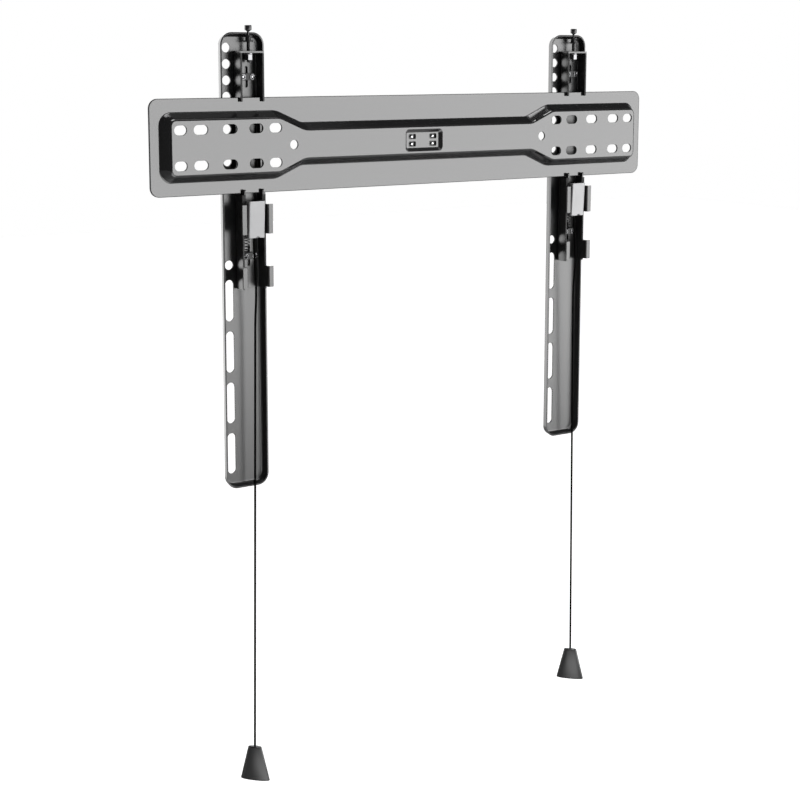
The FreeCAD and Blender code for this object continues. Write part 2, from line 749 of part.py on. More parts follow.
def make_collar(name, x):
    """Turn the collar that keeps the screw in the rail's top lip: two flanges and a waist."""
    body = new_body(name, x, "{screw_depth}", COLLAR_TOP)
    profile = new_sketch(body, "profile", "XZ")
    hole = "({screw_shank} / 2 + {collar_gap})"
    flange, waist = "{collar_flange} / 2", "{collar_waist} / 2"
    polygon(profile, [
        (hole, "0"), (flange, "0"), (flange, "-{collar_lip}"), (waist, "-{collar_lip}"),
        (waist, "{collar_lip} - {collar_height}"), (flange, "{collar_lip} - {collar_height}"),
        (flange, "-{collar_height}"), (hole, "-{collar_height}"),
    ])
    turn(body, profile)


def make_strap(name, x, height, with_seat):
    """Cut one guide strap, which bridges the stud's head; the lower one carries the spring's seat."""
    body = new_body(name, x, "0", height)
    strap = new_sketch(body, "strap", "XZ", STRAP_FRONT)
    half_long, half_high, side = "{strap_length} / 2", "{strap_height} / 2", "-{spring_seat_side}"
    corners = rectangle(f"-{half_long}", half_long, f"-{half_high}", half_high)
    if with_seat:
        corners[3:] = [(side, half_high), (side, SEAT_RISE), (f"-{half_long}", SEAT_RISE)]
    polygon(strap, corners)
    for sign in ("-", ""):
        circle(strap, f"{sign}{{strap_rivet_spacing}} / 2", "0", "{strap_rivet_shank}")
    pad(body, strap, "{strap_sheet}", backwards=True)
    reach = size("strap_length") / 2
    round_edges(body, "ends", "{strap_end_round}",
                lambda edge: runs_along(edge, INWARD) and near(abs(edge.BoundBox.Center.x), reach)
                and edge.BoundBox.Center.z < (0 if with_seat else reach))
    if with_seat:
        seat = new_sketch(body, "seat", "XY", SEAT_RISE)
        polygon(seat, rectangle(f"-{half_long}", side, f"{STRAP_FRONT} - {{spring_seat_reach}}", STRAP_BACK))
        pad(body, seat, "{strap_sheet}", backwards=True)


def make_rivets(name, x, height):
    """Turn the two rivets of a strap: shank, spacer under the strap and dimpled head."""
    body = new_body(name, x, "0", height)
    steps = (
        ("shank", STRAP_FRONT, f"{CARRIAGE_BACK} - {STRAP_FRONT}", "{strap_rivet_shank} - 2 * {rivet_gap}"),
        ("spacer", STRAP_BACK, f"{CARRIAGE_WEB} - {STRAP_BACK}", "{rivet_spacer}"),
        ("head", f"{STRAP_FRONT} - {{rivet_head_height}}", "{rivet_head_height}", "{strap_rivet_head}"),
    )
    for word, start, length, diameter in steps:
        sketch = new_sketch(body, word, "XZ", start)
        for sign in ("-", ""):
            circle(sketch, f"{sign}{{strap_rivet_spacing}} / 2", "0", diameter)
        pad(body, sketch, length, backwards=True)
    dimple = new_sketch(body, "dimple", "XZ", f"{STRAP_FRONT} - {{rivet_head_height}}")
    for sign in ("-", ""):
        circle(dimple, f"{sign}{{strap_rivet_spacing}} / 2", "0", "{rivet_dimple}")
    pocket(body, dimple, "{rivet_head_height} * 0.8")


def make_studs(name, x):
    """Turn the two studs that join rail and carriage: each shank slides in its upright slot."""
    body = new_body(name, x)
    shank = "{guide_slot_width} - 2 * {slide_gap}"
    for word, start, length, diameter in (
            ("shank", STUD_FRONT, f"{RAIL_BACK} - {STUD_FRONT}", shank),
            ("head", STUD_FRONT, "{stud_head_height}", "{stud_head}")):
        sketch = new_sketch(body, word, "XZ", start)
        for height in ("{upper_guide_height}", "(-{lower_guide_height})"):
            circle(sketch, "0", height, diameter)
        pad(body, sketch, length, backwards=True)


# Latch, its pin, cover and spring


def make_latch(name, x):
    """Fold the latch: a channel with prongs in front of the plate's lower edge and a bottom flange."""
    body = new_body(name, x)
    front, bottom = "{latch_front}", "-{latch_bottom}"
    tip = f"(-{PLATE_EDGE} + {{latch_reach}})"
    side = new_sketch(body, "side", "YZ")
    polygon(side, [
        (LATCH_BACK, bottom), (LATCH_BACK, f"-{LATCH_TOP}"), (HOOK_BACK, f"-{LATCH_TOP}"), (HOOK_BACK, tip),
        (f"{HOOK_BACK} - {{latch_prong}}", tip), (front, "-{latch_shoulder}"), (front, bottom),
    ])
    pad(body, side, f"2 * {LATCH_OUTSIDE}", middle=True)
    inside = new_sketch(body, "inside", "XZ")
    polygon(inside, rectangle(f"-{LATCH_INSIDE}", LATCH_INSIDE, "-2 * {latch_bottom}", "0"))
    pocket(body, inside, LATCH_WEB)
    flange = new_sketch(body, "flange", "XY", bottom)
    half = f"({LATCH_INSIDE} - {{latch_relief}})"
    polygon(flange, rectangle(f"-{half}", half, "{latch_flange_front}", LATCH_BACK))
    pad(body, flange, "{latch_sheet}")
    slot = new_sketch(body, "pin_slot", "XZ", LATCH_WEB)
    wide = "({latch_pin_shank} + 2 * {latch_gap})"
    upright_slot(slot, "0", "(-{latch_pin_height} + {latch_travel} / 2)", wide, f"({wide} + {{latch_travel}})")
    pocket(body, slot, "{latch_sheet} * 2")
    cord = new_sketch(body, "cord_hole", "XY", f"-{LATCH_FLOOR}")
    circle(cord, "0", "{cord_exit_depth}", "{cord_thickness} + 2 * {cord_hole_gap}")
    pocket(body, cord, "{latch_sheet} * 2")
    outside, depth, high = worked_out(LATCH_OUTSIDE), worked_out(LATCH_BACK), worked_out(tip)
    round_edges(body, "back_bends", "{latch_bend}", upright_at(outside, depth))
    round_edges(body, "inside_bends", "{latch_bend} - {latch_sheet} * 0.8",
                upright_at(worked_out(LATCH_INSIDE), worked_out(LATCH_WEB)))
    round_edges(body, "prong_tips", "{latch_prong_round}",
                lambda edge: runs_along(edge, ALONG) and near(edge.BoundBox.Center.z, high))


def make_latch_pin(name, x):
    """Turn the pin that the latch slides on."""
    body = new_body(name, x, "0", "-{latch_pin_height}")
    head_back = f"({LATCH_WEB} - {{latch_gap}})"
    head_front = f"({head_back} - {{latch_pin_head_height}})"
    for word, start, length, diameter in (
            ("shank", head_back, f"{CARRIAGE_BACK} - {head_back}", "{latch_pin_shank} - 2 * {rivet_gap}"),
            ("head", head_front, "{latch_pin_head_height}", "{latch_pin_head}")):
        sketch = new_sketch(body, word, "XZ", start)
        circle(sketch, "0", "0", diameter)
        pad(body, sketch, length, backwards=True)
    rim = worked_out(head_front)
    round_edges(body, "rim", "{latch_pin_head_height} / 2",
                lambda edge: edge.Closed and near(edge.BoundBox.YMax, rim))


def make_cover(name, x):
    """Fold the latch's bright cover: a shallow channel that leans out at its top, notched below."""
    body = new_body(name, x, "{cover_front}", "-{cover_top}")
    body.Placement = FreeCAD.Placement(body.Placement.Base, FreeCAD.Rotation(ALONG, size("cover_tilt_degrees")))
    body.setExpression("Placement.Rotation.Angle", cell("{cover_tilt_degrees}"))
    half = f"({LATCH_INSIDE} - {{rivet_gap}})"
    face = new_sketch(body, "face", "XZ")
    polygon(face, rectangle(f"-{half}", half, f"-{COVER_LENGTH}", "0"))
    pad(body, face, "{cover_side}", backwards=True)
    inside = new_sketch(body, "inside", "XZ", "{cover_sheet}")
    inner = f"({half} - {{cover_sheet}})"
    polygon(inside, rectangle(f"-{inner}", inner, f"-2 * {COVER_LENGTH}", COVER_LENGTH))
    pocket(body, inside, "{cover_side}")
    notch = new_sketch(body, "notch", "XZ")
    circle(notch, "{cover_notch_offset}", f"-{COVER_LENGTH} - {{cover_notch}} / 2 + {{cover_notch_rise}}",
           "{cover_notch}")
    pocket(body, notch, "{cover_side} * 2")
    round_edges(body, "bends", "{cover_bend}", upright_at(worked_out(half), 0.0))


def make_spring(name, x):
    """Coil the spring that pushes the latch up, between the lower strap's seat and the latch."""
    wire, coil = size("spring_wire"), size("spring_coil")
    low, high = -worked_out(SPRING_SEAT), -size("latch_bottom")
    radius, height = (coil - wire) / 2, high - low - wire
    helix = Part.makeHelix(height / size("spring_turns"), height, radius)
    section = Part.Wire(Part.makeCircle(wire / 2, FreeCAD.Vector(radius, 0, 0), INWARD))
    spring = Part.Wire(helix).makePipeShell([section], True, True)
    spring.translate(FreeCAD.Vector(0, size("spring_depth"), low + wire / 2))
    add_shape(name, spring, f"({x} - {{spring_offset}})")


# Release cord, its stop and the pull tab


def make_cord_stop(name, x):
    """Turn the crimped stop that holds the cord's end above the latch's bottom flange."""
    body = new_body(name, x, "{cord_exit_depth}", f"-{LATCH_FLOOR}")
    stop = new_sketch(body, "stop", "XY")
    circle(stop, "0", "0", "{cord_stop}")
    pad(body, stop, "{cord_stop_height}")
    round_edges(body, "ends", "{cord_stop_height} / 4", lambda edge: edge.Closed)


def make_cord(name, x, tab_lean, tab_top):
    """Lay one release cord: it leaves the latch, bows towards the wall and hangs straight to its tab."""
    route = [
        (0.0, size("cord_exit_depth"), -worked_out(LATCH_FLOOR)),
        (0.0, 8.5, -95.0),
        (0.0, 7.3, -107.0),
        (0.0, 5.8, -124.0),
        (0.0, 5.4, -144.0),
        (0.0, 7.9, -168.0),
        (tab_lean, size("tab_depth"), -tab_top),
    ]
    points = [FreeCAD.Vector(*place) for place in route]
    wire, radii = rounded_path(points)
    start = (points[1] - points[0]).normalize()
    section = Part.Wire(Part.makeCircle(size("cord_thickness") / 2, points[0], start))
    tube = wire.makePipeShell([section], True, False)
    drawn = math.pi * size("cord_thickness") ** 2 / 4 * wire.Length
    print(f"{name}: length {wire.Length:.1f} mm, arc radii {[round(radius, 1) for radius in radii]}")
    print(f"{name}: volume {tube.Volume:.1f}, section times length {drawn:.1f}")
    if abs(tube.Volume - drawn) > 0.01 * drawn:
        raise RuntimeError(f"{name} has a wrong volume")
    add_shape(name, tube, x)


def rounded_path(points):
    """Join points by straight runs and tangent arcs; return the wire and the arcs' radii."""
    share = 0.45
    edges, radii = [], []
    last = points[0]
    for before, corner, after in zip(points, points[1:], points[2:]):
        back, ahead = (before - corner), (after - corner)
        reach = share * min(back.Length, ahead.Length)
        back.normalize()
        ahead.normalize()
        half_turn = (math.pi - back.getAngle(ahead)) / 2
        radius = reach / math.tan(half_turn)
        start, end = corner + back * reach, corner + ahead * reach
        centre_way = (back + ahead).normalize()
        middle = corner + centre_way * (radius / math.cos(half_turn) - radius)
        edges.append(Part.LineSegment(last, start).toShape())
        edges.append(Part.Arc(start, middle, end).toShape())
        radii.append(radius)
        last = end
    edges.append(Part.LineSegment(last, points[-1]).toShape())
    return Part.Wire(edges), radii


def make_pull_tab(name, x, top):
    """Mould the pull tab on the cord's end: a flattened cone with rounded rims, turned a little."""
    ends = ((0.0, size("tab_top_width"), size("tab_top_thickness")),
            (-size("tab_height"), size("tab_bottom_width"), size("tab_bottom_thickness")))
    rings = [oval(width, thickness, z) for z, width, thickness in ends]
    grip = Part.makeLoft(rings, True, True)
    grip = grip.makeFillet(size("tab_edge"), [edge for edge in grip.Edges if near(edge.BoundBox.ZLength, 0)])
    grip.rotate(FreeCAD.Vector(0, 0, 0), UPRIGHT, -size("tab_turn_degrees"))
    grip.translate(FreeCAD.Vector(0, size("tab_depth"), -top))
    add_shape(name, grip, x)


def oval(width, thickness, z):
    """Return a level ellipse as a wire."""
    shape = Part.Ellipse(FreeCAD.Vector(0, 0, z), width / 2, thickness / 2)
    return Part.Wire(shape.toShape())


# Level in the middle of the plate


def make_level():
    """Mould the level's housing behind the pocket and turn its vial and its four pins."""
    floor = "({level_pocket_depth} + {plate_sheet})"
    body = new_body("level_housing")
    half_long, half_high = "({level_body_length} / 2)", "({level_body_height} / 2)"
    block = new_sketch(body, "block", "XZ", floor)
    polygon(block, rectangle(f"-{half_long}", half_long, f"-{half_high}", half_high))
    pad(body, block, "{level_body_depth}", backwards=True)
    round_edges(body, "corners", "{level_corner}", lambda edge: runs_along(edge, INWARD))
    trough = new_sketch(body, "trough", "XZ", f"{floor} + {{level_floor}}")
    reach = "({level_vial_length} / 2 + {level_vial_gap})"
    side = "({level_vial} / 2 + {level_vial_gap})"
    polygon(trough, rectangle(f"-{reach}", reach, f"-{side}", side))
    pocket(body, trough, "{level_body_depth}")
    holes = new_sketch(body, "pin_holes", "XZ", floor)
    level_circles(holes, "{level_pin}")
    pocket(body, holes, "{level_pin_root}")
    vial = new_body("level_vial", "0", f"{floor} + {{level_floor}} + {{level_vial_gap}} + {{level_vial}} / 2")
    glass = new_sketch(vial, "glass", "YZ")
    circle(glass, "0", "0", "{level_vial}")
    pad(vial, glass, "{level_vial_length}", middle=True)
    round_edges(vial, "ends", "{level_vial} / 4", lambda edge: edge.Closed)
    pins = new_body("level_pins")
    shanks = new_sketch(pins, "shanks", "XZ", "{level_pocket_depth}")
    level_circles(shanks, "({level_pin} - 2 * {rivet_gap})")
    pad(pins, shanks, "{plate_sheet} + {level_pin_root} - {rivet_gap}", backwards=True)
    front = size("level_pocket_depth")
    round_edges(pins, "domes", "{level_pin_dome}",
                lambda edge: edge.Closed and near(edge.BoundBox.YMax, front))


def level_circles(sketch, diameter):
    """Draw a circle at each of the level's pins."""
    for across in ("-", ""):
        for up in ("-", ""):
            circle(sketch, f"{across}{{level_pin_spacing}} / 2", f"{up}{{level_pin_rows}} / 2", diameter)


def make_arm(side, sign):
    """Make every piece of one arm; the sign tells on which side of the plate it hangs."""
    centre = f"{sign}{{arm_spacing}} / 2"
    hook = f"{centre} + {{hook_offset}}"
    make_rail(f"rail_{side}", centre)
    make_carriage(f"hook_carriage_{side}", hook)
    make_nut(f"carriage_nut_{side}", hook)
    make_screw(f"adjusting_screw_{side}", hook)
    make_collar(f"screw_collar_{side}", hook)
    for word, height in (("upper", "{upper_guide_height}"), ("lower", "-{lower_guide_height}")):
        make_strap(f"{word}_guide_strap_{side}", hook, height, word == "lower")
        make_rivets(f"{word}_guide_rivets_{side}", hook, height)
    make_studs(f"guide_studs_{side}", hook)
    make_latch(f"latch_{side}", hook)
    make_latch_pin(f"latch_pin_{side}", hook)
    make_cover(f"latch_cover_{side}", hook)
    make_spring(f"latch_spring_{side}", hook)
    make_cord_stop(f"cord_stop_{side}", hook)
    lean, top = size(f"{side}_tab_lean"), size(f"{side}_tab_top")
    make_cord(f"release_cord_{side}", hook, lean, top)
    make_pull_tab(f"pull_tab_{side}", f"{hook} + {{{side}_tab_lean}}", top)


def export_parts():
    """Check every object and write one file for each sub-part."""
    DOC.recompute()
    for item in DOC.Objects:
        if "Invalid" in item.State or "Error" in item.State:
            raise RuntimeError(f"{item.Name} is {item.State}")
    os.makedirs("parts", exist_ok=True)
    for piece in DOC.Objects:
        loose = piece.TypeId == "Part::Feature" and not piece.getParentGroup()
        if not loose and piece.TypeId != "PartDesign::Body":
            continue
        shape = piece.Shape
        if shape.isNull() or not shape.isValid() or not shape.Solids:
            raise RuntimeError(f"{piece.Label} has no sound solid")
        shape.exportStep(f"parts/{piece.Label}.step")
        box = shape.BoundBox
        print(f"{piece.Label}: {len(shape.Solids)} solids, {shape.Volume:.1f} mm3, "
              f"X {box.XMin:.1f} {box.XMax:.1f}, Y {box.YMin:.1f} {box.YMax:.1f}, Z {box.ZMin:.1f} {box.ZMax:.1f}")


make_wall_plate()
make_level()
for arm_side, arm_sign in (("left", "-"), ("right", "")):
    make_arm(arm_side, arm_sign)
export_parts()
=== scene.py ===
"""Looks of the flat television bracket: paint, zinc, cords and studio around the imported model.

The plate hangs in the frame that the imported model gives: +X along the plate, +Y from the wall
towards the screen, +Z up, in metres. The camera stands on the wall's side, as the photograph's did.
"""
from __future__ import annotations

import json
import logging
import math
from dataclasses import dataclass, field
from enum import Enum

import bmesh
import bpy
from mathutils import Matrix, Vector

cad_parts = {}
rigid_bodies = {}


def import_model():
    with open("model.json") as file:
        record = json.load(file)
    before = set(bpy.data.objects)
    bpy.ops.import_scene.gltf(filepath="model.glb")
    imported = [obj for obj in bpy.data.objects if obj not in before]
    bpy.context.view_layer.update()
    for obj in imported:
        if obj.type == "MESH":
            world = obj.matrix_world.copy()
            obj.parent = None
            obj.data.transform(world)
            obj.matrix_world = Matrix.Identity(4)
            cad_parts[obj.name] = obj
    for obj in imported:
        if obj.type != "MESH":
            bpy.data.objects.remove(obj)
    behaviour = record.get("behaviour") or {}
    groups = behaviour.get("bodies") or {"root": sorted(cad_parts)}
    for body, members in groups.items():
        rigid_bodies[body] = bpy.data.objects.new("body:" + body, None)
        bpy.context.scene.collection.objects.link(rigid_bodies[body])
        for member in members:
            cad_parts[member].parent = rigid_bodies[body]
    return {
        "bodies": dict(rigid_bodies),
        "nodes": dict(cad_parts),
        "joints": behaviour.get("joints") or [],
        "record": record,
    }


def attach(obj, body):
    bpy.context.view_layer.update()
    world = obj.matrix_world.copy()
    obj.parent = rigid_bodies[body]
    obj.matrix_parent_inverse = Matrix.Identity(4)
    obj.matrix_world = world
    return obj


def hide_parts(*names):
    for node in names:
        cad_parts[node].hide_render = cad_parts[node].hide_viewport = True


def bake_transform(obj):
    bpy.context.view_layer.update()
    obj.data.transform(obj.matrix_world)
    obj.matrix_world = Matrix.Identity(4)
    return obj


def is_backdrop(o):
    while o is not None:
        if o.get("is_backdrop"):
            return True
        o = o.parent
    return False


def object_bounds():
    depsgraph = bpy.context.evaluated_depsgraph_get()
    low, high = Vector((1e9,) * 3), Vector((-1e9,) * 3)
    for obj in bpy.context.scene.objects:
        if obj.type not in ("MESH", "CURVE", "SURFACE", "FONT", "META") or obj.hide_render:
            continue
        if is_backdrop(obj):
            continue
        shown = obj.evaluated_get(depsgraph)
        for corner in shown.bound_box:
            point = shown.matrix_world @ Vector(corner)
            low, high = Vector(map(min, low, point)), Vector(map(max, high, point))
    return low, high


LOG = logging.getLogger("bracket")
MM = 0.001
MERGE_DISTANCE = 0.002 * MM
SOFT_EDGE_SAMPLES = 6


class Side(Enum):
    """The two arms, named as seen from the wall's side."""

    LEFT = "left"
    RIGHT = "right"


class Gloss(Enum):
    """How smooth a coat of paint or a moulding is, as the shader's roughness."""

    MIRROR = 0.12
    POLISHED = 0.25
    SATIN = 0.3
    FINE_TEXTURE = 0.42


# Node groups that several finishes share


def new_group(name: str, inputs: dict[str, float], outputs: tuple[str, ...]) -> bpy.types.NodeTree:
    """Make an empty shader node group with a coordinate input and number inputs.

    Args:
        name: the group's name.
        inputs: each number input and its default.
        outputs: the number outputs.

    Returns:
        The group, with its input and output nodes in place.
    """
    group = bpy.data.node_groups.new(name, "ShaderNodeTree")
    group.interface.new_socket("Place", in_out="INPUT", socket_type="NodeSocketVector")
    for word, value in inputs.items():
        socket = group.interface.new_socket(word, in_out="INPUT", socket_type="NodeSocketFloat")
        socket.default_value = value
    for word in outputs:
        group.interface.new_socket(word, in_out="OUTPUT", socket_type="NodeSocketFloat")
    group.nodes.new("NodeGroupInput").name = "In"
    group.nodes.new("NodeGroupOutput").name = "Out"
    return group


def calculate(tree: bpy.types.NodeTree, operation: str,
              *values: float | bpy.types.NodeSocket) -> bpy.types.NodeSocket:
    """Add one Math node.

    Args:
        tree: the node tree that gets it.
        operation: the node's operation.
        values: numbers or sockets, in the node's order.

    Returns:
        The result's socket.
    """
    node = tree.nodes.new("ShaderNodeMath")
    node.operation = operation
    for index, value in enumerate(values):
        if isinstance(value, bpy.types.NodeSocket):
            tree.links.new(value, node.inputs[index])
        else:
            node.inputs[index].default_value = value
    return node.outputs[0]


def noise(tree: bpy.types.NodeTree, place: bpy.types.NodeSocket, scale: bpy.types.NodeSocket,
          detail: float) -> bpy.types.NodeSocket:
    """Add one noise texture.

    Args:
        tree: the node tree that gets it.
        place: the coordinates.
        scale: the socket that gives the cells per metre.
        detail: how many finer layers it has.

    Returns:
        The noise's value.
    """
    node = tree.nodes.new("ShaderNodeTexNoise")
    node.inputs["Detail"].default_value = detail
    tree.links.new(place, node.inputs["Vector"])
    tree.links.new(scale, node.inputs["Scale"])
    return node.outputs["Fac"]


def ramp(tree: bpy.types.NodeTree, value: bpy.types.NodeSocket,
         span: tuple[float, float]) -> bpy.types.NodeSocket:
    """Rise smoothly from 0 at the span's start to 1 at its end.

    Args:
        tree: the node tree.
        value: the value that is followed.
        span: where the rise starts and ends.

    Returns:
        The result's socket.
    """
    node = tree.nodes.new("ShaderNodeMapRange")
    node.interpolation_type = "SMOOTHSTEP"
    tree.links.new(value, node.inputs["Value"])
    node.inputs["From Min"].default_value, node.inputs["From Max"].default_value = span
    return node.outputs["Result"]


def coat_group() -> bpy.types.NodeTree:
    """Build the surface of a sprayed, plated or moulded coat: soft waves, fine grain, wandering gloss.

    Returns:
        A group that gives the waves' height and a roughness that wanders a little.
    """
    group = new_group("coat", {"Waves": 500.0, "Grain": 3500.0, "Grain share": 0.2, "Clouds": 25.0,
                               "Roughness": 0.3, "Wander": 0.04}, ("Height", "Roughness"))
    source, out = group.nodes["In"].outputs, group.nodes["Out"].inputs
    waves = noise(group, source["Place"], source["Waves"], detail=1.0)
    grain = noise(group, source["Place"], source["Grain"], detail=2.0)
    clouds = noise(group, source["Place"], source["Clouds"], detail=4.0)
    group.links.new(calculate(group, "MULTIPLY_ADD", grain, source["Grain share"], waves), out["Height"])
    centred = calculate(group, "SUBTRACT", clouds, 0.5)
    group.links.new(calculate(group, "MULTIPLY_ADD", centred, source["Wander"], source["Roughness"]),
                    out["Roughness"])
    return group


def braid_group() -> bpy.types.NodeTree:
    """Build the braid of a thin cord, whose strands cross along its length.

    Returns:
        A group that gives the strands' height.
    """
    group = new_group("braid", {"Strands per metre": 900.0, "Slope": 0.6}, ("Height",))
    source, out = group.nodes["In"].outputs, group.nodes["Out"].inputs
    parts = group.nodes.new("ShaderNodeSeparateXYZ")
    group.links.new(source["Place"], parts.inputs[0])
    along = calculate(group, "MULTIPLY", parts.outputs["Z"], source["Slope"])
    strands = []
    for operation in ("ADD", "SUBTRACT"):
        across = calculate(group, operation, along, parts.outputs["X"])
        turned = calculate(group, "MULTIPLY", across, source["Strands per metre"])
        strands.append(calculate(group, "SINE", calculate(group, "MULTIPLY", turned, math.tau)))
    group.links.new(calculate(group, "MAXIMUM", *strands), out["Height"])
    return group


class Textures:
    """The node groups, each built once."""

    def __init__(self) -> None:
        """Build every group."""
        self.coat = coat_group()
        self.braid = braid_group()


# Finishes


class Surface:
    """A named material with one Principled shader, and the nodes that most finishes need."""

    def __init__(self, name: str, colour: tuple[float, float, float]) -> None:
        """Make the material with its shader.

        Args:
            name: the material's name.
            colour: its plain colour.
        """
        self.material = bpy.data.materials.new(name)
        self.material.use_nodes = True
        self.tree = self.material.node_tree
        self.shader = self.tree.nodes["Principled BSDF"].inputs
        self.shader["Base Color"].default_value = (*colour, 1)

    def place(self) -> bpy.types.NodeSocket:
        """Return the Object coordinates."""
        return self.tree.nodes.new("ShaderNodeTexCoord").outputs["Object"]

    def group(self, tree: bpy.types.NodeTree, values: dict[str, float]) -> bpy.types.ShaderNodeGroup:
        """Place a node group that reads the Object coordinates.

        Args:
            tree: the group.
            values: its own values here.

        Returns:
            The group's node.
        """
        node = self.tree.nodes.new("ShaderNodeGroup")
        node.node_tree = tree
        self.tree.links.new(self.place(), node.inputs["Place"])
        for word, value in values.items():
            node.inputs[word].default_value = value
        return node

    def bump(self, height: bpy.types.NodeSocket, depth: float, edge: float = 0.0) -> None:
        """Feed a height to the shader's normal, over edges that look a little round.

        Args:
            height: the height's socket.
            depth: the height of one unit, in metres.
            edge: the radius that sharp edges seem to have, in metres.
        """
        node = self.tree.nodes.new("ShaderNodeBump")
        node.inputs["Distance"].default_value = depth
        self.tree.links.new(height, node.inputs["Height"])
        if edge:
            soft = self.tree.nodes.new("ShaderNodeBevel")
            soft.samples = SOFT_EDGE_SAMPLES
            soft.inputs["Radius"].default_value = edge
            self.tree.links.new(soft.outputs["Normal"], node.inputs["Normal"])
        self.tree.links.new(node.outputs["Normal"], self.shader["Normal"])

    def coat(self, textures: Textures, values: dict[str, float], depth: float, edge: float) -> None:
        """Give the surface its coat's waves and gloss.

        Args:
            textures: the shared node groups.
            values: the coat group's own values.
            depth: the height of the waves, in metres.
            edge: the radius that sharp edges seem to have, in metres.
        """
        node = self.group(textures.coat, values)
        self.tree.links.new(node.outputs["Roughness"], self.shader["Roughness"])
        self.bump(node.outputs["Height"], depth, edge)


@dataclass(frozen=True)
class SheetPaint:
    """Baked powder coat with its orange peel, thin and dull on sheared edges, where dark metal may show."""

    name: str
    colour: tuple[float, float, float]
    gloss: Gloss
    shine: float = 0.75
    peel: float = 0.0018 * MM
    edge: float = 0.35 * MM
    sheared_roughness: float = 0.5
    sheared_metal: float = 0.0

    def sheared(self, tree: bpy.types.NodeTree,
                place: dict[str, bpy.types.NodeSocket]) -> bpy.types.NodeSocket:
        """Find the sheared edges.

        Args:
            tree: the material's nodes.
            place: the Object coordinates, by axis.

        Returns:
            A value that is 1 on them and 0 elsewhere.
        """
        raise NotImplementedError

    def make(self, textures: Textures) -> bpy.types.Material:
        """Coat the sheet, and then take gloss and paint off its sheared edges.

        Args:
            textures: the shared node groups.

        Returns:
            The paint's material.
        """
        surface = Surface(self.name, self.colour)
        tree, shader = surface.tree, surface.shader
        shader["Specular IOR Level"].default_value = self.shine
        surface.coat(textures, {"Roughness": self.gloss.value}, self.peel, self.edge)
        parts = tree.nodes.new("ShaderNodeSeparateXYZ")
        tree.links.new(surface.place(), parts.inputs[0])
        mask = self.sheared(tree, {axis: parts.outputs[axis] for axis in "XYZ"})
        smooth = shader["Roughness"].links[0].from_socket
        rough = calculate(tree, "MULTIPLY_ADD", mask, self.sheared_roughness, smooth)
        tree.links.new(rough, shader["Roughness"])
        if self.sheared_metal:
            tree.links.new(calculate(tree, "MULTIPLY", mask, self.sheared_metal), shader["Metallic"])
        return surface.material


@dataclass(frozen=True)
class FoldedPaint(SheetPaint):
    """The arms' paint, on folded sheet whose walls end at one depth."""

    edge_depth: float = 7.3 * MM
    edge_reach: float = 0.4 * MM
    edge_top: float = 86.2 * MM

    def sheared(self, tree: bpy.types.NodeTree,
                place: dict[str, bpy.types.NodeSocket]) -> bpy.types.NodeSocket:
        """Find the walls' ends, under the top flange.

        Args:
            tree: the material's nodes.
            place: the Object coordinates, by axis.

        Returns:
            A value that is 1 on them and 0 elsewhere.
        """
        near = calculate(tree, "COMPARE", place["Y"], self.edge_depth, self.edge_reach)
        return calculate(tree, "MULTIPLY", near, calculate(tree, "LESS_THAN", place["Z"], self.edge_top))


@dataclass(frozen=True)
class PressedPaint(SheetPaint):
    """The wall plate's paint, on a sheet with a cut rim and punched holes.

    The holes' walls lie, on either side of the middle, round one depth and one middle of their rows,
    each with its reach to both sides, and within one height.
    """

    half_size: tuple[float, float] = (300.0 * MM, 45.0 * MM)
    corner: float = 9.0 * MM
    rim: float = 0.5 * MM
    hole_depth: float = 1.0 * MM
    hole_depth_reach: float = 0.85 * MM
    hole_middle: float = 214.5 * MM
    hole_middle_reach: float = 69.5 * MM
    hole_height: float = 21.5 * MM

    def sheared(self, tree: bpy.types.NodeTree,
                place: dict[str, bpy.types.NodeSocket]) -> bpy.types.NodeSocket:
        """Find the rim's edge and the walls of the wall holes.

        Args:
            tree: the material's nodes.
            place: the Object coordinates, by axis.

        Returns:
            A value that is 1 on them and 0 elsewhere.
        """
        across = calculate(tree, "ABSOLUTE", place["X"])
        height = calculate(tree, "ABSOLUTE", place["Z"])
        past = [calculate(tree, "MAXIMUM", calculate(tree, "SUBTRACT", way, half - self.corner), 0.0)
                for way, half in zip((across, height), self.half_size)]
        squares = [calculate(tree, "POWER", way, 2.0) for way in past]
        reach = calculate(tree, "SQRT", calculate(tree, "ADD", *squares))
        rim = calculate(tree, "GREATER_THAN", reach, self.corner - self.rim)
        within = calculate(tree, "COMPARE", place["Y"], self.hole_depth, self.hole_depth_reach)
        beside = calculate(tree, "COMPARE", across, self.hole_middle, self.hole_middle_reach)
        low = calculate(tree, "LESS_THAN", height, self.hole_height)
        holes = calculate(tree, "MULTIPLY", calculate(tree, "MULTIPLY", within, beside), low)
        return calculate(tree, "MAXIMUM", rim, holes)


@dataclass(frozen=True)
class Metal:
    """Zinc plate, black oxide or bare steel; metallic is its share of bare metal."""

    name: str
    colour: tuple[float, float, float]
    roughness: float
    metallic: float = 1.0
    shine: float = 0.5
    edge: float = 0.2 * MM
    waves: float = 900.0
    grain: float = 6000.0
    grain_share: float = 0.5
    wander: float = 0.12
    grain_height: float = 0.0015 * MM

    def make(self, textures: Textures) -> bpy.types.Material:
        """Plate or blacken the metal.

        Args:
            textures: the shared node groups.

        Returns:
            The metal's material.
        """
        surface = Surface(self.name, self.colour)
        surface.shader["Metallic"].default_value = self.metallic
        surface.shader["Specular IOR Level"].default_value = self.shine
        surface.coat(textures, {"Waves": self.waves, "Grain": self.grain, "Grain share": self.grain_share,
                                "Roughness": self.roughness, "Wander": self.wander},
                     self.grain_height, self.edge)
        return surface.material


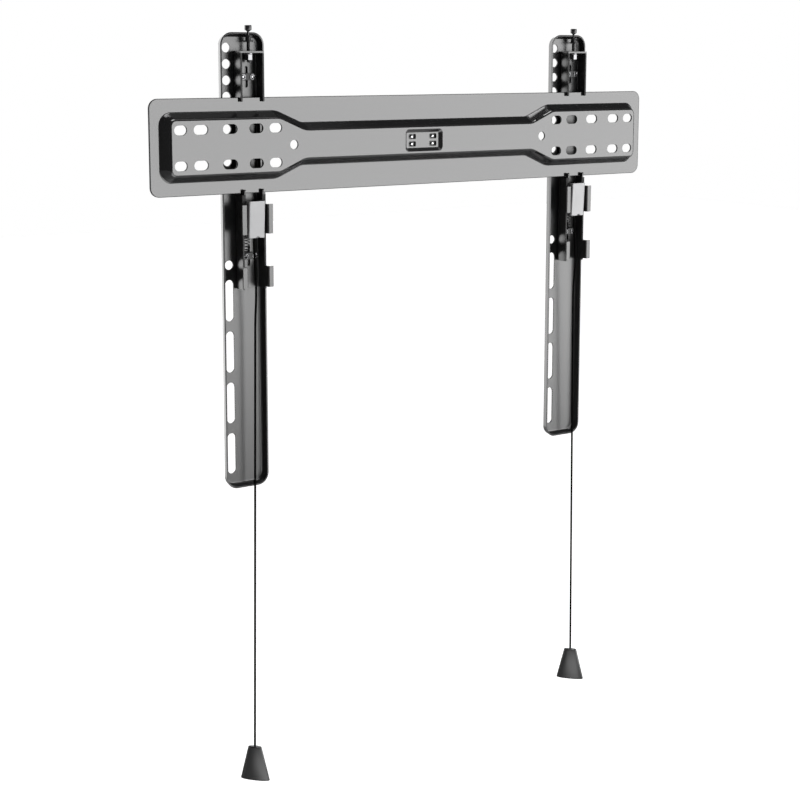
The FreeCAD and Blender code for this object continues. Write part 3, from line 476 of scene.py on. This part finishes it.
@dataclass(frozen=True)
class Moulding:
    """Moulded plastic with the fine texture of its mould."""

    name: str
    colour: tuple[float, float, float]
    gloss: Gloss
    shine: float = 0.5
    texture: float = 0.012 * MM
    edge: float = 0.4 * MM
    waves: float = 2600.0
    grain: float = 9000.0

    def make(self, textures: Textures) -> bpy.types.Material:
        """Mould the plastic's surface.

        Args:
            textures: the shared node groups.

        Returns:
            The plastic's material.
        """
        surface = Surface(self.name, self.colour)
        surface.shader["Specular IOR Level"].default_value = self.shine
        surface.coat(textures, {"Waves": self.waves, "Grain": self.grain, "Roughness": self.gloss.value},
                     self.texture, self.edge)
        return surface.material


@dataclass(frozen=True)
class Braid:
    """Braided nylon."""

    name: str
    colour: tuple[float, float, float]
    roughness: float = 0.9
    shine: float = 0.0
    strand_height: float = 0.08 * MM

    def make(self, textures: Textures) -> bpy.types.Material:
        """Braid the cord's surface.

        Args:
            textures: the shared node groups.

        Returns:
            The braid's material.
        """
        surface = Surface(self.name, self.colour)
        surface.shader["Roughness"].default_value = self.roughness
        surface.shader["Specular IOR Level"].default_value = self.shine
        node = surface.group(textures.braid, {})
        surface.bump(node.outputs["Height"], self.strand_height)
        return surface.material


@dataclass(frozen=True)
class Vial:
    """Clear tube full of tinted liquid."""

    name: str
    colour: tuple[float, float, float]
    clearness: float = 0.7
    roughness: float = 0.06

    def make(self, textures: Textures) -> bpy.types.Material:
        """Fill the tube.

        Args:
            textures: the shared node groups.

        Returns:
            The vial's material.
        """
        surface = Surface(self.name, self.colour)
        surface.shader["Transmission Weight"].default_value = self.clearness
        surface.shader["Roughness"].default_value = self.roughness
        return surface.material


class Finishes:
    """Every material of the bracket, by its slot in the record, with the variants that few pieces have."""

    def __init__(self) -> None:
        """Build the materials."""
        textures = Textures()
        makers = (
            PressedPaint("plate_paint", (0.016, 0.016, 0.0165), Gloss.MIRROR, sheared_metal=1.0),
            FoldedPaint("arm_paint", (0.013, 0.013, 0.0132), Gloss.SATIN),
            Metal("black_zinc", (0.014, 0.014, 0.015), 0.35, metallic=0.0, shine=0.25),
            Metal("black_oxide", (0.018, 0.018, 0.019), 0.2, metallic=0.0),
            # Bright metal that only the rivet heads' wall-facing flat faces get: painted glints on the rolled
            # rim and on the funnel's floor.
            Metal("rivet_painted_glint", (0.2, 0.2, 0.205), 0.15),
            Metal("bright_zinc", (0.62, 0.62, 0.63), 0.2),
            Metal("dull_zinc", (0.17, 0.17, 0.175), 0.3),
            Metal("satin_zinc", (0.2, 0.2, 0.203), 0.36, metallic=0.4, edge=0.45 * MM),
            Metal("spring_steel", (0.012, 0.012, 0.0125), 0.45, metallic=0.0, shine=0.3),
            Braid("cord_nylon", (0.004, 0.004, 0.004)),
            Moulding("tab_plastic", (0.02, 0.02, 0.0205), Gloss.POLISHED, shine=0.6, texture=0.004 * MM),
            Moulding("level_plastic", (0.02, 0.02, 0.02), Gloss.FINE_TEXTURE),
            Vial("vial_plastic", (0.7, 0.85, 0.12)),
        )
        self.by_name = {maker.name: maker.make(textures) for maker in makers}

    def dress(self, piece: bpy.types.Object, slot: str, variant: str | None = None) -> None:
        """Give a piece one material, its slot's or the variant's.

        Args:
            piece: the object to dress.
            slot: the record's material slot.
            variant: the material's name, where it isn't the slot's.
        """
        piece.data.materials.clear()
        piece.data.materials.append(self.by_name[variant or slot])


# The studio


@dataclass
class PhotoCamera:
    """The camera, fitted to the photograph: metres, degrees, and a lens in the photograph's pixels."""

    place: tuple[float, float, float] = (-1.0127, -1.414, 0.0935)
    yaw: float = 35.824
    pitch: float = -9.375
    roll: float = 0.231
    focal_pixels: float = 1721.2
    frame_pixels: float = 800.0
    centre_column: float = 430.0
    centre_row: float = 330.0
    sensor_width: float = 36.0
    nearest: float = 0.01

    def build(self) -> bpy.types.Object:
        """Make the camera and set it as the scene's own.

        Returns:
            The camera's object.
        """
        data = bpy.data.cameras.new("photo_camera")
        data.sensor_width = self.sensor_width
        data.lens = data.sensor_width * self.focal_pixels / self.frame_pixels
        data.shift_x = 0.5 - self.centre_column / self.frame_pixels
        data.shift_y = self.centre_row / self.frame_pixels - 0.5
        data.clip_start = self.nearest
        camera = bpy.data.objects.new("photo_camera", data)
        yaw, pitch, roll = (math.radians(angle) for angle in (self.yaw, self.pitch, self.roll))
        ahead = Vector((math.sin(yaw) * math.cos(pitch), math.cos(yaw) * math.cos(pitch), math.sin(pitch)))
        level = Vector((math.cos(yaw), -math.sin(yaw), 0))
        upright = level.cross(ahead)
        right = math.cos(roll) * level + math.sin(roll) * upright
        up = right.cross(ahead)
        turn = Matrix((right, up, -ahead)).transposed()
        camera.matrix_world = Matrix.Translation(self.place) @ turn.to_4x4()
        bpy.context.scene.collection.objects.link(camera)
        bpy.context.scene.camera = camera
        return camera


@dataclass(frozen=True)
class Softbox:
    """One large rectangular lamp: its place, what it faces, its size and how bright its face is."""

    name: str
    place: tuple[float, float, float]
    aim: tuple[float, float, float]
    width: float
    height: float
    radiance: float

    def build(self) -> None:
        """Hang the lamp."""
        data = bpy.data.lights.new(self.name, "AREA")
        data.shape = "RECTANGLE"
        data.size, data.size_y = self.width, self.height
        data.energy = self.radiance * math.pi * self.width * self.height
        lamp = bpy.data.objects.new(self.name, data)
        way = (Vector(self.aim) - Vector(self.place)).normalized()
        lamp.rotation_mode = "QUATERNION"
        lamp.rotation_quaternion = way.to_track_quat("-Z", "Y")
        lamp.location = self.place
        lamp.visible_camera = False
        bpy.context.scene.collection.objects.link(lamp)


@dataclass
class Studio:
    """Floor, lamps and surroundings.

    Each span says where a glow that only gloss sees fades in or out: for the surroundings as a part of
    the ray's direction, on the floor in metres.
    """

    floor_drop: float = 0.14
    floor_reach: float = 6.0
    floor_tone: float = 0.9
    floor_seen: float = 0.85
    fill: float = 0.25
    room: float = 0.08
    backdrop: float = 3.0
    backdrop_front: tuple[float, float] = (0.1, 0.5)
    backdrop_top: tuple[float, float] = (0.3, 0.55)
    ceiling: float = 10.0
    ceiling_back: tuple[float, float] = (-0.05, 0.1)
    ceiling_edge: tuple[float, float] = (0.92, 0.97)
    far_floor: tuple[float, float] = (1.0, 2.5)
    side_glow: float = 2.6
    side_left: tuple[float, float] = (-0.9, -0.65)
    side_right: tuple[float, float] = (-0.1, 0.1)
    side_back: tuple[float, float] = (-0.3, -0.06)
    boxes: tuple[Softbox, ...] = (
        Softbox("front_box", (1.5, -1.9, -0.15), (0.0, 0.0, -0.1), width=2.3, height=1.7, radiance=6.2),
        Softbox("top_box", (0.2, -0.7, 1.7), (0.0, 0.0, -0.1), width=1.6, height=0.6, radiance=1.0),
    )

    def build(self, lowest: float) -> None:
        """Set the studio up.

        Args:
            lowest: the height of the object's lowest point.
        """
        for box in self.boxes:
            box.build()
        self.make_world()
        self.make_floor(lowest - self.floor_drop)

    def make_world(self) -> None:
        """Make the surroundings: white to the eye, a soft fill, and a band and a ceiling for gloss."""
        world = bpy.data.worlds.new("studio")
        bpy.context.scene.world = world
        world.use_nodes = True
        tree = world.node_tree
        shine = tree.nodes["Background"]
        shine.inputs["Color"].default_value = (1, 1, 1, 1)
        path = tree.nodes.new("ShaderNodeLightPath").outputs
        way = tree.nodes.new("ShaderNodeSeparateXYZ")
        tree.links.new(tree.nodes.new("ShaderNodeTexCoord").outputs["Generated"], way.inputs[0])
        seen = calculate(tree, "MAXIMUM", path["Is Camera Ray"], path["Is Transmission Ray"])
        behind = ramp(tree, way.outputs["Y"], self.backdrop_front)
        height = calculate(tree, "ABSOLUTE", way.outputs["Z"])
        level = calculate(tree, "SUBTRACT", 1.0, ramp(tree, height, self.backdrop_top))
        band = calculate(tree, "MULTIPLY_ADD", calculate(tree, "MULTIPLY", behind, level),
                         self.backdrop - self.room, self.room)
        before = calculate(tree, "SUBTRACT", 1.0, ramp(tree, way.outputs["Y"], self.ceiling_back))
        above = calculate(tree, "MULTIPLY", before, ramp(tree, way.outputs["Z"], self.ceiling_edge))
        bright = calculate(tree, "MULTIPLY_ADD", above, self.ceiling, band)
        soft = calculate(tree, "MULTIPLY", calculate(tree, "SUBTRACT", 1.0, path["Is Glossy Ray"]), self.fill)
        gloss = calculate(tree, "MULTIPLY_ADD", path["Is Glossy Ray"], bright, soft)
        unseen = calculate(tree, "MULTIPLY", calculate(tree, "SUBTRACT", 1.0, seen), gloss)
        tree.links.new(calculate(tree, "ADD", seen, unseen), shine.inputs["Strength"])

    def make_floor(self, height: float) -> None:
        """Lay the pale floor, with a glow that only gloss sees behind the object and beside its left front.

        Args:
            height: its height.
        """
        mesh = bpy.data.meshes.new("floor")
        shape = bmesh.new()
        bmesh.ops.create_grid(shape, x_segments=1, y_segments=1, size=self.floor_reach)
        bmesh.ops.translate(shape, verts=shape.verts, vec=(0, 0, height))
        shape.to_mesh(mesh)
        shape.free()
        floor = bpy.data.objects.new("floor", mesh)
        bpy.context.scene.collection.objects.link(floor)
        surface = Surface("floor_white", (self.floor_tone,) * 3)
        surface.shader["Roughness"].default_value = self.floor_tone
        surface.shader["Emission Color"].default_value = (1, 1, 1, 1)
        tree = surface.tree
        path = tree.nodes.new("ShaderNodeLightPath").outputs
        parts = tree.nodes.new("ShaderNodeSeparateXYZ")
        tree.links.new(surface.place(), parts.inputs[0])
        behind = ramp(tree, parts.outputs["Y"], self.far_floor)
        left = calculate(tree, "SUBTRACT", ramp(tree, parts.outputs["X"], self.side_left),
                         ramp(tree, parts.outputs["X"], self.side_right))
        front = calculate(tree, "SUBTRACT", 1.0, ramp(tree, parts.outputs["Y"], self.side_back))
        beside = calculate(tree, "MULTIPLY", calculate(tree, "MULTIPLY", left, front), self.side_glow)
        glow = calculate(tree, "MULTIPLY_ADD", behind, self.backdrop, beside)
        shown = calculate(tree, "MULTIPLY", path["Is Camera Ray"], self.floor_seen)
        gloss = calculate(tree, "MULTIPLY_ADD", path["Is Glossy Ray"], glow, shown)
        tree.links.new(gloss, surface.shader["Emission Strength"])
        mesh.materials.append(surface.material)
        floor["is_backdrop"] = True


# Meshes


def finish_piece(shape: bmesh.types.BMesh, name: str, sharp: float = 40.0) -> bpy.types.Object:
    """Turn a bmesh that stands in its place into an object at the origin, shaded smooth.

    Args:
        shape: the mesh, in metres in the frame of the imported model.
        name: the object's name.
        sharp: edges that turn by more than this many degrees stay sharp.

    Returns:
        The object.
    """
    bmesh.ops.remove_doubles(shape, verts=shape.verts, dist=MERGE_DISTANCE)
    bmesh.ops.recalc_face_normals(shape, faces=shape.faces)
    for face in shape.faces:
        face.smooth = True
    for edge in shape.edges:
        edge.smooth = edge.calc_face_angle(0.0) < math.radians(sharp)
    mesh = bpy.data.meshes.new(name)
    shape.to_mesh(mesh)
    shape.free()
    piece = bpy.data.objects.new(name, mesh)
    bpy.context.scene.collection.objects.link(piece)
    return piece


def turn_profile(shape: bmesh.types.BMesh, points: list[tuple[float, float]], centre: Vector, axis: Vector,
                 steps: int) -> None:
    """Turn a profile round an axis that is square to X.

    Args:
        shape: the mesh that gets the turned form.
        points: each point's radius and its way along the axis, in millimetres.
        centre: the axis's zero, in metres.
        axis: its direction.
        steps: the number of segments.
    """
    across = Vector((1, 0, 0))
    verts = [shape.verts.new(centre + (across * radius + axis * along) * MM) for radius, along in points]
    edges = [shape.edges.new(pair) for pair in zip(verts, verts[1:])]
    bmesh.ops.spin(shape, geom=verts + edges, cent=centre, axis=axis, angle=math.tau, steps=steps,
                   use_merge=True, use_duplicate=False)


def arc(centre: tuple[float, float], radius: float, start: float, end: float,
        steps: int) -> list[tuple[float, float]]:
    """Return the points of a part of a circle, for a profile.

    Args:
        centre: its centre.
        radius: its radius.
        start: the first angle, in degrees.
        end: the last angle.
        steps: the number of runs.

    Returns:
        The points, both ends among them.
    """
    angles = [math.radians(start + (end - start) * step / steps) for step in range(steps + 1)]
    return [(centre[0] + radius * math.cos(angle), centre[1] + radius * math.sin(angle)) for angle in angles]


def raise_face(shape: bmesh.types.BMesh, face: bmesh.types.BMFace, rise: float) -> bmesh.types.BMFace:
    """Extrude a level face upright, and take it from its old place if other faces meet it there.

    Args:
        shape: its mesh.
        face: the face.
        rise: how far it goes up, in millimetres.

    Returns:
        The face in its new place.
    """
    made = bmesh.ops.extrude_face_region(shape, geom=[face, *face.edges])["geom"]
    bmesh.ops.translate(shape, verts=[item for item in made if isinstance(item, bmesh.types.BMVert)],
                        vec=(0, 0, rise * MM))
    return next(item for item in made if isinstance(item, bmesh.types.BMFace))


@dataclass(frozen=True)
class Arm:
    """One arm: its side, and where the middle of its hook channel stands along the plate, in millimetres."""

    side: Side
    across: float

    def point(self, depth: float, height: float, aside: float = 0.0) -> Vector:
        """Return a point of the arm, in metres; aside is its way from the middle of the channel."""
        return Vector((self.across + aside, depth, height)) * MM

    def name(self, word: str) -> str:
        """Return the name that a piece, node or body of this arm has."""
        return f"{word}_{self.side.value}"


@dataclass
class HeightScrew:
    """The height screw of an arm: threaded shank, smooth neck and a round head with a hexagon socket.

    The thread's root, rising flank and crest are shares of its pitch.
    """

    arm: Arm
    depth: float = 14.6
    tip: float = 77.4
    collar_top: float = 102.5
    head_under: float = 107.2
    top: float = 112.0
    head: float = 7.0
    neck: float = 2.4
    shank: float = 3.4
    pitch: float = 0.7
    thread_depth: float = 0.35
    facets: int = 48
    rim: float = 0.4
    rim_steps: int = 2
    socket: float = 2.9
    socket_depth: float = 1.6
    socket_sides: int = 6
    thread_root: float = 0.4
    thread_flank: float = 0.4
    thread_crest: float = 0.1
    shank_steps: int = 28

    def build(self, finishes: Finishes) -> bpy.types.Object:
        """Model the screw and put it in place of the plain one.

        Args:
            finishes: the materials.

        Returns:
            The screw.
        """
        shape = bmesh.new()
        self.add_head(shape)
        self.add_shank(shape)
        piece = finish_piece(shape, self.arm.name("height_screw"), sharp=30.0)
        finishes.dress(piece, "black_zinc", "black_oxide")
        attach(piece, self.arm.name("screw"))
        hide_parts(self.arm.name("adjusting_screw"))
        return piece

    def add_head(self, shape: bmesh.types.BMesh) -> None:
        """Raise the head, break its rims and sink its socket.

        Args:
            shape: the screw's mesh, still empty.
        """
        radius, high = self.head / 2, self.top - self.head_under
        ring = bmesh.ops.create_circle(shape, cap_ends=True, segments=self.facets, radius=radius * MM)
        base = ring["verts"][0].link_faces[0]
        rims = list(base.edges) + list(raise_face(shape, base, high).edges)
        bmesh.ops.bevel(shape, geom=rims, offset=self.rim * MM, offset_type="OFFSET", affect="EDGES",
                        segments=self.rim_steps, profile=0.5, material=-1)
        cap = max(shape.faces, key=lambda face: face.calc_center_median().z)
        rim = list(cap.edges)
        bmesh.ops.delete(shape, geom=[cap], context="FACES_ONLY")
        corners = bmesh.ops.create_circle(shape, cap_ends=True, segments=self.socket_sides,
                                          radius=self.socket / 2 * MM)["verts"]
        bmesh.ops.translate(shape, verts=corners, vec=(0, 0, high * MM))
        floor = corners[0].link_faces[0]
        bmesh.ops.bridge_loops(shape, edges=rim + list(floor.edges))
        raise_face(shape, floor, -self.socket_depth)
        bmesh.ops.translate(shape, verts=shape.verts, vec=self.arm.point(self.depth, self.head_under))

    def add_shank(self, shape: bmesh.types.BMesh) -> None:
        """Turn the shank with the ridges of its thread, and the neck that widens into the head.

        Args:
            shape: the screw's mesh.
        """
        crest, neck = self.shank / 2, self.neck / 2
        root = crest - self.thread_depth
        points = [(0.0, self.tip), (root - self.thread_depth / 2, self.tip)]
        for turn in range(int((self.collar_top - self.tip) / self.pitch)):
            low = self.tip + (turn + self.thread_root) * self.pitch
            high = low + self.thread_flank * self.pitch
            points += [(root, low), (crest, high), (crest, high + self.thread_crest * self.pitch)]
        points += [(root, self.collar_top), (neck, self.collar_top), (neck, self.head_under - neck),
                   (self.head / 2 - self.rim * 2, self.head_under), (0.0, self.head_under)]
        turn_profile(shape, points, self.arm.point(self.depth, 0.0), Vector((0, 0, 1)), self.shank_steps)


@dataclass
class StrapRivets:
    """The two tubular rivets of a guide strap: shank, spacer and a head whose rim is rolled over."""

    arm: Arm
    word: str
    height: float
    spacing: float = 10.0
    back: float = 21.1
    web: float = 19.1
    strap_back: float = 17.5
    strap_front: float = 16.3
    shank: float = 2.7
    spacer: float = 3.8
    head: float = 5.4
    head_height: float = 0.8
    rim_inside: float = 4.2
    rim_round: float = 0.2
    floor: float = 2.0
    floor_rise: float = 0.3
    funnel_angle: float = -150.0
    rim_steps: int = 4
    steps: int = 32
    # Faces whose normal's Y is below minus this get the bright rivet metal, as a painted glint.
    painted_glint_facing: float = 0.8

    def build(self, finishes: Finishes) -> bpy.types.Object:
        """Turn both rivets and put them in place of the plain ones.

        Args:
            finishes: the materials.

        Returns:
            The rivets.
        """
        shape = bmesh.new()
        for aside in (-self.spacing / 2, self.spacing / 2):
            turn_profile(shape, self.profile(), self.arm.point(0.0, self.height, aside), Vector((0, 1, 0)),
                         self.steps)
        piece = finish_piece(shape, self.arm.name(f"{self.word}_tubular_rivets"), sharp=50.0)
        finishes.dress(piece, "black_zinc", "black_oxide")
        # The heads' flat faces that face the wall side, where the front lamp mirrors, get bright metal as a
        # painted glint; the rest stays black oxide.
        piece.data.materials.append(finishes.by_name["rivet_painted_glint"])
        for face in piece.data.polygons:
            face.material_index = int(face.normal.y < -self.painted_glint_facing)
        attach(piece, self.arm.name("carriage"))
        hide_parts(self.arm.name(f"{self.word}_guide_rivets"))
        return piece

    def profile(self) -> list[tuple[float, float]]:
        """Draw one rivet's half section.

        Returns:
            Its points, from the peened end to the middle of the funnel in the head.
        """
        shank, spacer, head, curve = self.shank / 2, self.spacer / 2, self.head / 2, self.rim_round
        front = self.strap_front - self.head_height
        points = [(0.0, self.back), (shank, self.back), (shank, self.web), (spacer, self.web),
                  (spacer, self.strap_back), (shank, self.strap_back), (shank, self.strap_front),
                  (head, self.strap_front)]
        inner = self.rim_inside / 2 + curve
        points += arc((head - curve, front + curve), curve, 0.0, -90.0, self.rim_steps)
        points += arc((inner, front + curve), curve, -90.0, self.funnel_angle, self.rim_steps)
        floor = self.strap_front - self.floor_rise
        return points + [(self.floor / 2, self.strap_front), (self.floor / 2, floor), (0.0, floor)]


@dataclass
class LatchSpring:
    """The latch's compression spring, with its closed end turns."""

    arm: Arm
    aside: float = -4.6
    depth: float = 13.2
    seat: float = -101.7
    top: float = -87.6
    coil: float = 5.2
    wire: float = 0.8
    open_turns: int = 4
    steps: int = 24
    wire_facets: int = 12

    def build(self, finishes: Finishes) -> bpy.types.Object:
        """Coil the spring and put it in place of the plain one.

        Args:
            finishes: the materials.

        Returns:
            The spring.
        """
        shape = bmesh.new()
        axis = self.arm.point(self.depth, 0.0, self.aside)
        start = Vector(((self.coil - self.wire) / 2, 0, self.seat + self.wire / 2)) * MM
        upright = Matrix.Rotation(math.pi / 2, 4, "X")
        ring = bmesh.ops.create_circle(shape, cap_ends=False, segments=self.wire_facets,
                                       radius=self.wire / 2 * MM,
                                       matrix=Matrix.Translation(axis + start) @ upright)["verts"]
        first = list(dict.fromkeys(edge for vert in ring for edge in vert.link_edges))
        last = first
        closed = self.wire
        open_rise = self.top - self.seat - self.wire - 2 * closed
        for turns, rise in ((1, closed), (self.open_turns, open_rise), (1, closed)):
            made = bmesh.ops.spin(shape, geom=last, cent=axis, axis=(0, 0, 1), angle=math.tau * turns,
                                  steps=self.steps * turns, dvec=(0, 0, rise * MM / (self.steps * turns)),
                                  use_merge=False, use_duplicate=False)["geom_last"]
            last = [item for item in made if isinstance(item, bmesh.types.BMEdge)]
        for edges in (first, last):
            bmesh.ops.contextual_create(shape, geom=edges)
        piece = finish_piece(shape, self.arm.name("coiled_spring"))
        finishes.dress(piece, "spring_steel")
        self.arm.name("carriage")
        self.arm.name("latch")
        tuple(self.arm.point(self.depth, self.seat + self.wire, self.aside))
        tuple(self.arm.point(self.depth, self.top - self.wire, self.aside))
        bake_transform(piece)
        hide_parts(self.arm.name("latch_spring"))
        return piece


@dataclass
class ReleaseCord:
    """The cord of an arm, from the latch's flange over the rail's end to its tab."""

    arm: Arm
    length: float
    tab_top: float
    lean: float
    thickness: float = 2.2
    lean_below_carriage: float = 0.056
    route_in_carriage: tuple[tuple[float, float], ...] = (
        (8.5, -86.1), (8.5, -95.0), (7.3, -107.0), (5.8, -124.0), (5.4, -144.0), (7.9, -168.0))
    below_carriage: tuple[float, float] = (8.15, -192.0)
    tab_depth: float = 12.4
    spline_order: int = 3
    spline_steps: int = 12
    round_steps: int = 4

    def route(self) -> list[Vector]:
        """Find the cord's way.

        Returns:
            Its points, in metres, from the latch's flange to the tab.
        """
        points = [self.arm.point(depth, height) for depth, height in self.route_in_carriage]
        points.append(self.arm.point(*self.below_carriage, self.lean * self.lean_below_carriage))
        points.append(self.arm.point(self.tab_depth, self.tab_top, self.lean))
        return points

    def build(self, finishes: Finishes) -> bpy.types.Object:
        """Args:
            finishes: the materials.

        Returns:
            The cord's curve.
        """
        name = self.arm.name("cord")
        curve = bpy.data.curves.new(name, "CURVE")
        curve.dimensions = "3D"
        curve.bevel_depth = self.thickness * MM / 2
        curve.bevel_resolution = self.round_steps
        curve.resolution_u = self.spline_steps
        curve.use_fill_caps = True
        spline = curve.splines.new("NURBS")
        points = self.route()
        spline.points.add(len(points) - 1)
        for point, place in zip(spline.points, points):
            point.co = (*place, 1)
        spline.order_u = self.spline_order
        spline.use_endpoint_u = True
        cord = bpy.data.objects.new(name, curve)
        bpy.context.scene.collection.objects.link(cord)
        finishes.dress(cord, "cord_nylon")
        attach(cord, self.arm.name("latch"))
        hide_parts(self.arm.name("release_cord"))
        self.arm.name("moulded_tab")
        self.arm.name("cord_stop")
        return cord


@dataclass
class PullTab:
    """A pull tab moulded on a cord's end: a flattened cone with crowned faces and a hollow foot."""

    arm: Arm
    top: float
    lean: float
    depth: float = 12.4
    turn: float = 50.0
    top_size: tuple[float, float] = (13.8, 6.0)
    foot_size: tuple[float, float] = (31.0, 8.6)
    height: float = 35.0
    rim: float = 1.0
    rim_steps: int = 5
    wall: float = 1.6
    hollow: float = 4.0
    steps: int = 64

    def half_size(self, fall: float, inset: float) -> tuple[float, float]:
        """Measure the tab at one height.

        Args:
            fall: how far that is under its top, in millimetres.
            inset: what its half sizes lose there.

        Returns:
            Half its width and half its thickness.
        """
        share = fall / self.height
        wide, thick = (first + (last - first) * share for first, last in zip(self.top_size, self.foot_size))
        return wide / 2 - inset, thick / 2 - inset

    def build(self, finishes: Finishes) -> bpy.types.Object:
        """Mould the tab: draw an oval down its outside, in under its rim and up its hollow foot.

        Args:
            finishes: the materials.

        Returns:
            The tab.
        """
        over = arc((self.rim, self.rim), self.rim, 270.0, 180.0, self.rim_steps)
        under = [(inset, self.height - fall) for inset, fall in reversed(over)]
        inside = [(self.wall, self.height), (self.wall, self.height - self.hollow)]
        shape = bmesh.new()
        corners = bmesh.ops.create_circle(shape, cap_ends=True, segments=self.steps, radius=MM)["verts"]
        edges = list(shape.edges)
        wide_now, thick_now, fall_now = 1.0, 1.0, 0.0
        for index, (inset, fall) in enumerate(over + under + inside):
            if index:
                made = bmesh.ops.extrude_edge_only(shape, edges=edges)["geom"]
                corners = [item for item in made if isinstance(item, bmesh.types.BMVert)]
                edges = [edge for edge in made if isinstance(edge, bmesh.types.BMEdge)
                         and all(corner in corners for corner in edge.verts)]
            wide, thick = self.half_size(fall, inset)
            bmesh.ops.scale(shape, verts=corners, vec=(wide / wide_now, thick / thick_now, 1.0))
            bmesh.ops.translate(shape, verts=corners, vec=(0, 0, (fall_now - fall) * MM))
            wide_now, thick_now, fall_now = wide, thick, fall
        bmesh.ops.contextual_create(shape, geom=edges)
        bmesh.ops.rotate(shape, verts=shape.verts, matrix=Matrix.Rotation(-math.radians(self.turn), 3, "Z"))
        bmesh.ops.translate(shape, verts=shape.verts, vec=self.arm.point(self.depth, self.top, self.lean))
        tab = finish_piece(shape, self.arm.name("moulded_tab"))
        finishes.dress(tab, "tab_plastic")
        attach(tab, self.arm.name("latch"))
        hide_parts(self.arm.name("pull_tab"))
        return tab


# The bracket


@dataclass
class Bracket:
    """The whole bracket: dressed nodes, and the pieces that take the place of plain ones.

    Each arm's cord has its length, which is not used, the height of its end in the tab and how far that end
    leans aside.
    """

    finishes: Finishes
    left: Arm = Arm(Side.LEFT, -193.3)
    right: Arm = Arm(Side.RIGHT, 206.7)
    upper_guide: float = 64.0
    lower_guide: float = -105.8
    cords: tuple[tuple[float, float, float], ...] = ((513.7, -599.5, -4.0), (497.2, -583.0, 9.0))
    variants: dict[str, str] = field(default_factory=lambda: {"carriage_nut": "dull_zinc"})

    def dress_nodes(self, frame: dict) -> None:
        """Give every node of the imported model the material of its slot.
        """
        for row in frame["record"]["subparts"]:
            kind = row["node"].removesuffix("_left").removesuffix("_right")
            self.finishes.dress(frame["nodes"][row["node"]], row["material_slot"], self.variants.get(kind))

    def build(self) -> None:
        """Build the pieces of both arms and report each."""
        arms = (self.left, self.right)
        makers = []
        for arm, (length, end, lean) in zip(arms, self.cords):
            makers += [PullTab(arm, top=end, lean=lean),
                       ReleaseCord(arm, length=length, tab_top=end, lean=lean)]
        for arm in arms:
            makers += [HeightScrew(arm), StrapRivets(arm, "upper", self.upper_guide),
                       StrapRivets(arm, "lower", self.lower_guide), LatchSpring(arm)]
        for maker in makers:
            LOG.info("made %s", maker.build(self.finishes).name)


def main() -> None:
    """Build the scene."""
    logging.basicConfig(level=logging.INFO, format="%(name)s: %(message)s")
    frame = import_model()
    cad_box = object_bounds()
    bracket = Bracket(Finishes())
    bracket.dress_nodes(frame)
    PhotoCamera().build()
    bracket.build()
    Studio().build(cad_box[0].z)
    bpy.context.scene.view_settings.view_transform = "Standard"


if __name__ == "__main__":
    main()
